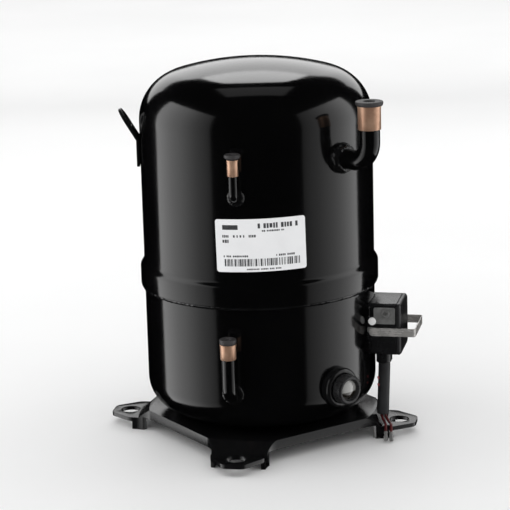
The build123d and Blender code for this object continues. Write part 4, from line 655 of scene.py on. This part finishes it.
@dataclass
class Shell:
    """The welded shell: a dome with a bell over the cup's rim, and the bead that joins them."""

    radius: float = SHELL_RADIUS
    wall: float = 3.5
    top: float = 365.0
    dome_crown: float = 280.0
    dome_knuckle: float = 47.0
    cup_pole: float = 14.0
    cup_crown: float = 300.0
    cup_knuckle: float = 32.0
    bell_bottom: float = 151.0
    bell_top: float = 168.0
    shoulder: float = 8.0
    lap: float = 0.2
    bead: float = 3.6

    def dished(self, radius: float, crown: float, knuckle: float, pole: float, side: int) -> Points:
        """A dished end from its straight edge to its pole.

        Args:
            radius: The shell's radius there.
            crown: Radius of the crown.
            knuckle: Radius of the knuckle.
            pole: Height of the pole.
            side: 1 for an upper end and -1 for a lower one.

        Returns:
            The points of its profile.
        """
        centre = pole - side * crown
        rise = math.sqrt((crown - knuckle) ** 2 - (radius - knuckle) ** 2)
        lean = math.degrees(math.atan2(radius - knuckle, rise))
        turn = Bench.arc((radius - knuckle, centre + side * rise), knuckle, 0, side * (90 - lean), 16)
        crown_arc = Bench.arc((0, centre), crown, side * (90 - lean), side * 90, 16)
        return turn + crown_arc[1:-1] + [(0.0, pole)]

    def slope(self, outer: float, inner: float, low: float) -> Points:
        """The bell's S-shaped shoulder from its outer radius in to the shell's."""
        steps = [step / 8 for step in range(9)]
        return [(outer + (inner - outer) * (3 * t * t - 2 * t ** 3), low + self.shoulder * t) for t in steps]

    def build(self) -> None:
        """Turn both halves and the bead."""
        inner, bell = self.radius - self.wall, self.radius + self.lap
        outside = self.dished(self.radius, self.dome_crown, self.dome_knuckle, self.top, 1)
        inside = self.dished(inner, self.dome_crown - self.wall, self.dome_knuckle - self.wall,
                             self.top - self.wall, 1)
        profile = (list(reversed(inside)) + list(reversed(self.slope(bell, inner, self.bell_top)))
                   + [(bell, self.bell_bottom), (bell + self.wall - 0.5, self.bell_bottom),
                      (bell + self.wall, self.bell_bottom + 0.5)]
                   + self.slope(bell + self.wall, self.radius, self.bell_top) + outside)
        dome = Bench.turned("shell_dome", profile, 192)
        Bench.smooth(dome)
        Bench.publish(dome, ENAMEL, "root", "black_gloss_paint", "upper_shell")
        outside = self.dished(self.radius, self.cup_crown, self.cup_knuckle, self.cup_pole, -1)
        inside = self.dished(inner, self.cup_crown - self.wall, self.cup_knuckle - self.wall,
                             self.cup_pole + self.wall, -1)
        rim = self.bell_top - self.wall
        profile = list(reversed(outside)) + [(self.radius, rim), (inner, rim)] + inside
        cup = Bench.turned("shell_cup", profile, 192)
        Bench.smooth(cup)
        Bench.publish(cup, ENAMEL, "root", "black_gloss_paint", "lower_shell")
        bead = Bench.arc((self.radius, self.bell_bottom - 0.3), self.bead - 0.5, -95, 12, 9)
        start = (self.radius - 0.6, self.bell_bottom - self.bead)
        end = (self.radius - 0.6, self.bell_bottom + 0.3)
        weld = Bench.turned("seam_bead", [start, *bead, end, start], 540)
        Bench.lump(weld, 2.6, 1.3)
        Bench.smooth(weld, 80)
        Bench.publish(weld, WELD_ENAMEL, "root", "black_gloss_paint", "seam_weld")


@dataclass
class ServiceTube:
    """One service tube: steel stub, weld round its root, copper end and rubber cap."""

    name: str
    azimuth: float
    height: float
    reach: float
    tube: float
    wall: float
    bend: float
    socket: float
    rim: float
    collar: float
    collar_length: float
    flange: float
    crown: float
    plug: float
    dimple: float
    flare: float
    lumps: tuple[float, float] = (1.8, 0.9)
    shell: float = SHELL_RADIUS

    def stub(self) -> None:
        """Draw the bent steel tube by extruding and spinning its section."""
        Bench.clear()
        start, axis = self.shell - 6.0, self.shell + self.reach
        bpy.ops.mesh.primitive_circle_add(vertices=48, radius=self.tube * MM, fill_type="NOTHING",
                                          location=(start * MM, 0, self.height * MM),
                                          rotation=(0, math.radians(90), 0))
        piece = bpy.context.object
        piece.name = f"{self.name}_bent_tube"
        bpy.ops.object.transform_apply(location=True, rotation=True, scale=True)
        bpy.ops.object.mode_set(mode="EDIT")
        bpy.ops.mesh.select_all(action="SELECT")
        run = (axis - self.bend - start) * MM
        bpy.ops.mesh.extrude_region_move(TRANSFORM_OT_translate={"value": (run, 0, 0)})
        bpy.ops.mesh.spin(steps=20, angle=math.pi / 2, axis=(0, 1, 0),
                          center=((axis - self.bend) * MM, 0, (self.height + self.bend) * MM))
        rise = (self.socket + 6 - self.height - self.bend) * MM
        bpy.ops.mesh.extrude_region_move(TRANSFORM_OT_translate={"value": (0, 0, rise)})
        Bench.close()
        thick = piece.modifiers.new("wall", "SOLIDIFY")
        thick.thickness = self.wall * MM
        thick.offset = -1.0
        bpy.ops.object.modifier_apply(modifier=thick.name)
        Bench.smooth(piece)
        Bench.put(piece, standing(self.azimuth))
        Bench.publish(piece, ENAMEL, "root", "black_gloss_paint", f"{self.name}_stub")

    def weld(self) -> None:
        """Lay the lumpy weld round the tube's root."""
        inner, outer, long = self.tube - 0.4, self.collar, self.collar_length
        profile = [(inner, -4.0), (outer * 0.8, -4.0), (outer, -2.6), (outer, -1.0)]
        reach = max(outer - inner - 1.2, 1.0)
        steps = 9
        for step in range(steps + 1):
            t = step / steps
            profile.append((outer - reach * (1 - math.cos(t * math.pi / 2)) ** 0.8,
                            long * math.sin(t * math.pi / 2) ** 0.75))
        profile += [(inner, long), (inner, long * 0.5), (inner, -4.0)]
        piece = Bench.turned(f"{self.name}_root_weld", profile, 120)
        size, depth = self.lumps
        Bench.lump(piece, size, depth)
        Bench.smooth(piece, 80)
        Bench.put(piece, facing(self.azimuth, self.shell, 0, self.height))
        Bench.publish(piece, WELD_ENAMEL, "root", "black_gloss_paint", f"{self.name}_weld_collar")

    def copper(self) -> None:
        """Turn the copper end with its rolled mouth."""
        inner, wall = self.tube + 0.05, 1.0
        outer = inner + wall
        profile = [(inner, self.socket + 0.3), (inner + 0.3, self.socket), (outer - 0.35, self.socket),
                   (outer, self.socket + 0.35), (outer, self.rim - 3.2), (outer + 0.08, self.rim - 1.8),
                   (outer + 0.34, self.rim - 0.5), (outer + 0.3, self.rim - 0.1), (outer, self.rim),
                   (inner + 0.5, self.rim), (inner + 0.3, self.rim - 0.3), (inner, self.rim - 1.8)]
        piece = Bench.turned(f"{self.name}_copper_sleeve", [*profile, profile[0]], 72)
        Bench.smooth(piece, 50)
        Bench.put(piece, standing(self.azimuth, self.shell + self.reach))
        Bench.publish(piece, COPPER, "root", "copper", f"{self.name}_copper_end")

    def cap(self) -> None:
        """Turn the moulded rubber cap with its dimple."""
        base, top, flange = self.rim + 0.1, self.crown, self.flange
        plug = self.tube - 0.25
        under = flange - self.flare
        edge = min(0.9, (top - base) * 0.25)
        profile = [(0, base - self.plug), (plug - 1.0, base - self.plug), (plug, base - self.plug + 1.0),
                   (plug, base), (under - 0.5, base), (under, base + 0.3),
                   (flange, base + (top - base) * 0.45)]
        profile += Bench.arc((flange - edge, top - edge), edge, 0, 90, 5)
        profile += [(self.dimple + 1.0, top - 0.05), (self.dimple + 0.3, top - 0.3), (self.dimple, top - 0.9),
                    (self.dimple * 0.8, top - 2.4), (self.dimple * 0.5, top - 2.9), (0, top - 3.0)]
        piece = Bench.turned(f"{self.name}_rubber_cap", profile, 64)
        Bench.soften(piece, 0.2, 2, 40)
        Bench.smooth(piece, 50)
        Bench.put(piece, standing(self.azimuth, self.shell + self.reach))
        Bench.publish(piece, CAP, f"{self.name}_cap", "cap_rubber", f"{self.name}_cap")

    def build(self) -> None:
        """Make the whole tube."""
        self.stub()
        self.weld()
        self.copper()
        self.cap()


@dataclass
class SightGlass:
    """Oil window: painted boss, dark ring and the glass with the oil's level behind it."""

    azimuth: float = 5.8
    height: float = 65.0
    shell: float = SHELL_RADIUS
    boss: float = 19.0
    boss_reach: float = 8.0
    ring: float = 14.0
    reach: float = 18.0
    glass: float = 9.0
    thread: float = 10.5
    boss_round: float = 3.2
    root: float = -6.0
    bulge: float = 20.3

    def build(self) -> None:
        """Turn the three pieces about the window's axis."""
        place = facing(self.azimuth, self.shell, 0, self.height)
        lip = self.boss_reach
        shoulder = Bench.arc((self.boss - self.boss_round, lip - self.boss_round), self.boss_round, 0, 90, 6)
        hole = self.thread + 0.1
        boss = Bench.turned("window_boss", [
            (hole, self.root), (self.boss, self.root), (self.boss, lip / 2), *shoulder,
            (self.ring + 0.6, lip), (self.ring + 0.2, lip - 0.5), (hole, lip - 0.5), (hole, self.root)], 96)
        Bench.soften(boss, 0.25, 2, 40)
        Bench.lump(boss, 5.0, 0.5)
        Bench.smooth(boss, 50)
        Bench.put(boss, place)
        Bench.publish(boss, BOSS, "root", "black_gloss_paint", "sight_glass_boss")
        face, bore = self.reach, self.glass
        ring = Bench.turned("window_ring", [
            (bore - 1.5, self.root), (self.thread, self.root), (self.thread, lip),
            (self.ring - 0.3, lip), (self.ring, lip + 0.4),
            (self.ring, face - 1.5), (self.ring - 1.5, face), (bore + 1.6, face), (bore + 1.2, face - 0.5),
            (bore + 0.1, face - 2.0), (bore + 0.1, lip + 1.5), (bore - 1.5, lip + 1.5),
            (bore - 1.5, self.root)], 96)
        Bench.soften(ring, 0.22, 3, 25)
        Bench.smooth(ring, 50)
        Bench.put(ring, place)
        Bench.publish(ring, RING, "root", "plated_steel", "sight_glass_fitting")
        back = lip + 1.6
        pole = face - 1.7
        dome = Bench.arc((0, pole - self.bulge), self.bulge, 64, 90, 8)[:-1]
        lens = Bench.turned("window_glass", [
            (0, back), (bore - 0.05, back), (bore - 0.05, face - 3.0), *dome, (0, pole)], 64)
        Bench.smooth(lens, 40)
        Bench.put(lens, place)
        Bench.publish(lens, WINDOW, "root", "sight_glass", "sight_glass_lens")


@dataclass
class Label:
    """White rating label that follows the shell, with plain bars for its print."""

    azimuth: float = -32.7
    centre: float = 209.5
    width: float = 84.0
    height: float = 49.5
    thickness: float = 0.3
    corner: float = 2.5
    tilt: float = 1.0
    strips: int = 42
    shell: float = SHELL_RADIUS

    def score(self) -> None:
        """Cut the active flat piece into upright strips, so that it can bend; it stays in edit mode."""
        bpy.ops.object.mode_set(mode="EDIT")
        for number in range(1, self.strips):
            bpy.ops.mesh.select_all(action="SELECT")
            cut = (number / self.strips - 0.5) * self.width * MM
            bpy.ops.mesh.bisect(plane_co=(cut, 0, 0), plane_no=(1, 0, 0))

    def wrap(self, piece: bpy.types.Object, lift: float) -> None:
        """Roll a flat piece onto the shell.

        Args:
            piece: The piece, flat in X and Y with Z outward.
            lift: How far its back stands off the shell.
        """
        turn = math.radians(self.tilt)
        for vertex in piece.data.vertices:
            x, y, z = vertex.co / MM
            across = x * math.cos(turn) - y * math.sin(turn)
            up = x * math.sin(turn) + y * math.cos(turn)
            azimuth = self.azimuth + math.degrees(across / self.shell)
            vertex.co = (outward(azimuth) * (self.shell + lift + z) + Vector((0, 0, self.centre + up))) * MM
        piece.data.update()

    def bars(self) -> list[tuple[float, float, float, float]]:
        """The print's bars as (middle x, middle y, width, height)."""
        spacing = random.Random(11)
        bars = []

        def row(left: float, right: float, middle: float, high: float, dash: float) -> None:
            """Fill a row with dashes of about one width, with a gap now and then."""
            place = left
            while place < right - dash / 2:
                wide = dash * spacing.uniform(0.6, 1.1)
                bars.append((place + wide / 2, middle, wide, high * spacing.uniform(0.8, 1.0)))
                place += wide + dash * (0.3 if spacing.random() < 0.8 else 1.2)

        bars.append((-28.0, 17.2, 14.5, 4.4))
        row(-2.4, 34.8, 18.2, 5.0, 2.6)
        row(1.2, 22.6, 13.4, 1.7, 1.3)
        row(-35.5, -29.0, 8.9, 2.7, 1.5)
        row(-25.4, -14.0, 8.9, 2.7, 1.5)
        row(-11.0, -4.8, 8.9, 2.7, 1.5)
        row(-35.5, -28.6, 4.2, 3.2, 1.7)
        row(-35.0, -11.6, -9.9, 1.9, 1.4)
        row(13.4, 30.3, -9.9, 1.9, 1.4)
        row(-13.7, 19.0, -22.3, 1.5, 1.2)
        place = -34.3
        while place < 36.5:
            wide = spacing.choice((0.5, 0.5, 0.9, 1.4))
            bars.append((place + wide / 2, -15.9, wide, 6.9))
            place += wide + spacing.choice((0.4, 0.5, 0.8, 1.3))
        return bars

    def build(self) -> None:
        """Make the film and its print."""
        film = Bench.slab("rating_label", self.width, self.height, self.thickness, self.corner)
        Bench.take(film)
        self.score()
        Bench.close()
        self.wrap(film, 0.0)
        Bench.smooth(film)
        Bench.publish(film, LABEL, "root", "label_film", "nameplate_label")
        first = Bench.slab("label_bar", 1.0, 1.0, 0.05, 0.0)
        pieces = [first]
        mesh = first.data.copy()
        for number, (x, y, wide, high) in enumerate(self.bars()):
            size = Matrix.LocRotScale(Vector((x * MM, y * MM, 0)), None, Vector((wide, high, 1)))
            if number:
                bar = bpy.data.objects.new(f"label_bar_{number}", mesh.copy())
                bpy.context.collection.objects.link(bar)
                pieces.append(bar)
            pieces[-1].data.transform(size)
        Bench.clear()
        for bar in pieces:
            bar.select_set(True)
        bpy.context.view_layer.objects.active = first
        bpy.ops.object.join()
        first.name = "label_print"
        self.score()
        bpy.ops.object.mode_set(mode="OBJECT")
        self.wrap(first, self.thickness)
        Bench.publish(first, INK, "root", "label_film")


@dataclass
class TerminalBox:
    """Terminal box with its cover, spring clip, gland, sleeve and earth fittings."""

    azimuth: float = BOX_AZIMUTH
    half: float = 25.0
    sticker: tuple[float, float] = (113.7, 117.5)
    sticker_radius: float = 3.75
    sticker_height: float = 1.25
    tab: tuple[float, float] = (111.5, 109.0)
    tab_size: float = 5.0
    tab_thickness: float = 0.8
    marks: tuple[float, float] = (50.0, 57.0)
    sleeve: tuple[float, float] = (121.1, -7.5)
    sleeve_radius: float = 5.7
    mark_bearing: float = 35.0

    def build(self) -> None:
        """Round the box's pieces, then add the sticker, the tab and the paint marks."""
        pieces = (("terminal_box_body", 0.5, BOX, "root", "box_plastic"),
                  ("terminal_cover", 0.55, COVER, "terminal_cover", "cover_plastic"),
                  ("cover_clip", 0.18, STRAP, "cover_clip", "spring_steel"),
                  ("cable_gland", 0.8, BOX, "root", "box_plastic"),
                  ("ground_bracket", 0.2, PLATED, "root", "plated_steel"),
                  ("ground_screw", 0.12, PLATED, "root", "plated_steel"),
                  ("box_studs", 0.6, ENAMEL, "root", "black_gloss_paint"),
                  ("cable_sleeve", 0.2, SLEEVE, "root", "sleeve_rubber"))
        for node, width, finish, body, slot in pieces:
            piece = Bench.eased(node, width)
            Bench.publish(piece, finish, body, slot, node)
        r, top = self.sticker_radius, self.sticker_height
        disc = Bench.turned("round_sticker", [(0, 0), (r, 0), (r, top - 0.15), (r - 0.2, top), (0, top)], 48)
        Bench.smooth(disc)
        side = standing(self.azimuth, self.sticker[0], -self.half, self.sticker[1])
        turn = Matrix.Rotation(math.radians(90), 4, "X")
        Bench.put(disc, side @ turn)
        Bench.publish(disc, STICKER, "root", "label_film")
        tab = Bench.slab("earth_tab", self.tab_size, self.tab_size, self.tab_thickness, 1.0)
        Bench.soften(tab, 0.15, 2)
        Bench.smooth(tab)
        Bench.put(tab, standing(self.azimuth, self.tab[0], -self.half, self.tab[1]) @ turn)
        Bench.publish(tab, PLATED, "root", "plated_steel")
        for number, height in enumerate(self.marks, 1):
            mark = Bench.turned(f"paint_mark_{number}", [(0, -0.4), (1.5, -0.4), (1.4, 0.2), (0, 0.3)], 24)
            Bench.smooth(mark)
            reach, across = self.sleeve
            bearing = math.radians(self.mark_bearing)
            place = standing(self.azimuth, reach - self.sleeve_radius * math.cos(bearing),
                             across - self.sleeve_radius * math.sin(bearing), height)
            spin = Matrix.Rotation(bearing, 4, "Z") @ Matrix.Rotation(math.radians(-90), 4, "Y")
            Bench.put(mark, place @ spin)
            Bench.publish(mark, MARK, "root", "lead_insulation")


@dataclass
class Pressings:
    """Painted pressings: the mounting base and the lifting lug."""

    base_edge: float = 0.9
    lug_edge: float = 0.7

    def build(self) -> None:
        """Round their sheared edges and paint them."""
        for node, width in (("mounting_base", self.base_edge), ("lifting_lug", self.lug_edge)):
            piece = Bench.eased(node, width, 4)
            Bench.publish(piece, PRESSED_ENAMEL, "root", "black_gloss_paint", node)


class Carried:
    """The carried parts that keep their shape, such as the sealed scroll set and motor."""

    def build(self) -> None:
        """Give each part the finish of its slot."""
        finishes = {finish.name: finish for finish in CARRIED}
        for name, node in sorted(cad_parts.items()):
            for slot in node.material_slots:
                key = slot.material.name.split(".")[0]
                if key in finishes:
                    slot.material = finishes[key].material()
                else:
                    LOG.warning("%s has no finish for %s", name, key)
        LOG.info("%d carried parts are dressed", len(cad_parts))


def main() -> None:
    """Build the camera, the leads, the studio and each sub-assembly in order."""
    logging.basicConfig(level=logging.INFO, format="%(name)s: %(message)s")
    for material in list(bpy.data.materials):
        material.name = f"{material.name}.frame"
    Camera().build()
    Leads().build()
    Studio().build()
    Carried().build()
    Shell().build()
    ServiceTube(name="suction", azimuth=10.5, height=282.4, reach=36.0, tube=9.525, wall=1.4, bend=19.0,
                socket=313.0, rim=334.7, collar=14.5, collar_length=8.0, flange=12.7, crown=338.9,
                plug=9.0, dimple=5.2, flare=0.6, lumps=(2.4, 1.7)).build()
    ServiceTube(name="discharge", azimuth=-48.0, height=67.0, reach=14.0, tube=6.35, wall=1.1, bend=11.0,
                socket=105.0, rim=119.4, collar=10.5, collar_length=2.8, flange=7.9, crown=124.4,
                plug=7.0, dimple=2.4, flare=0.4).build()
    ServiceTube(name="process", azimuth=-44.0, height=254.0, reach=12.5, tube=3.97, wall=0.9, bend=8.0,
                socket=276.4, rim=291.6, collar=8.4, collar_length=3.2, flange=7.4, crown=296.6,
                plug=6.0, dimple=1.9, flare=1.8).build()
    SightGlass().build()
    Label().build()
    TerminalBox().build()
    Pressings().build()


if __name__ == "__main__":
    main()
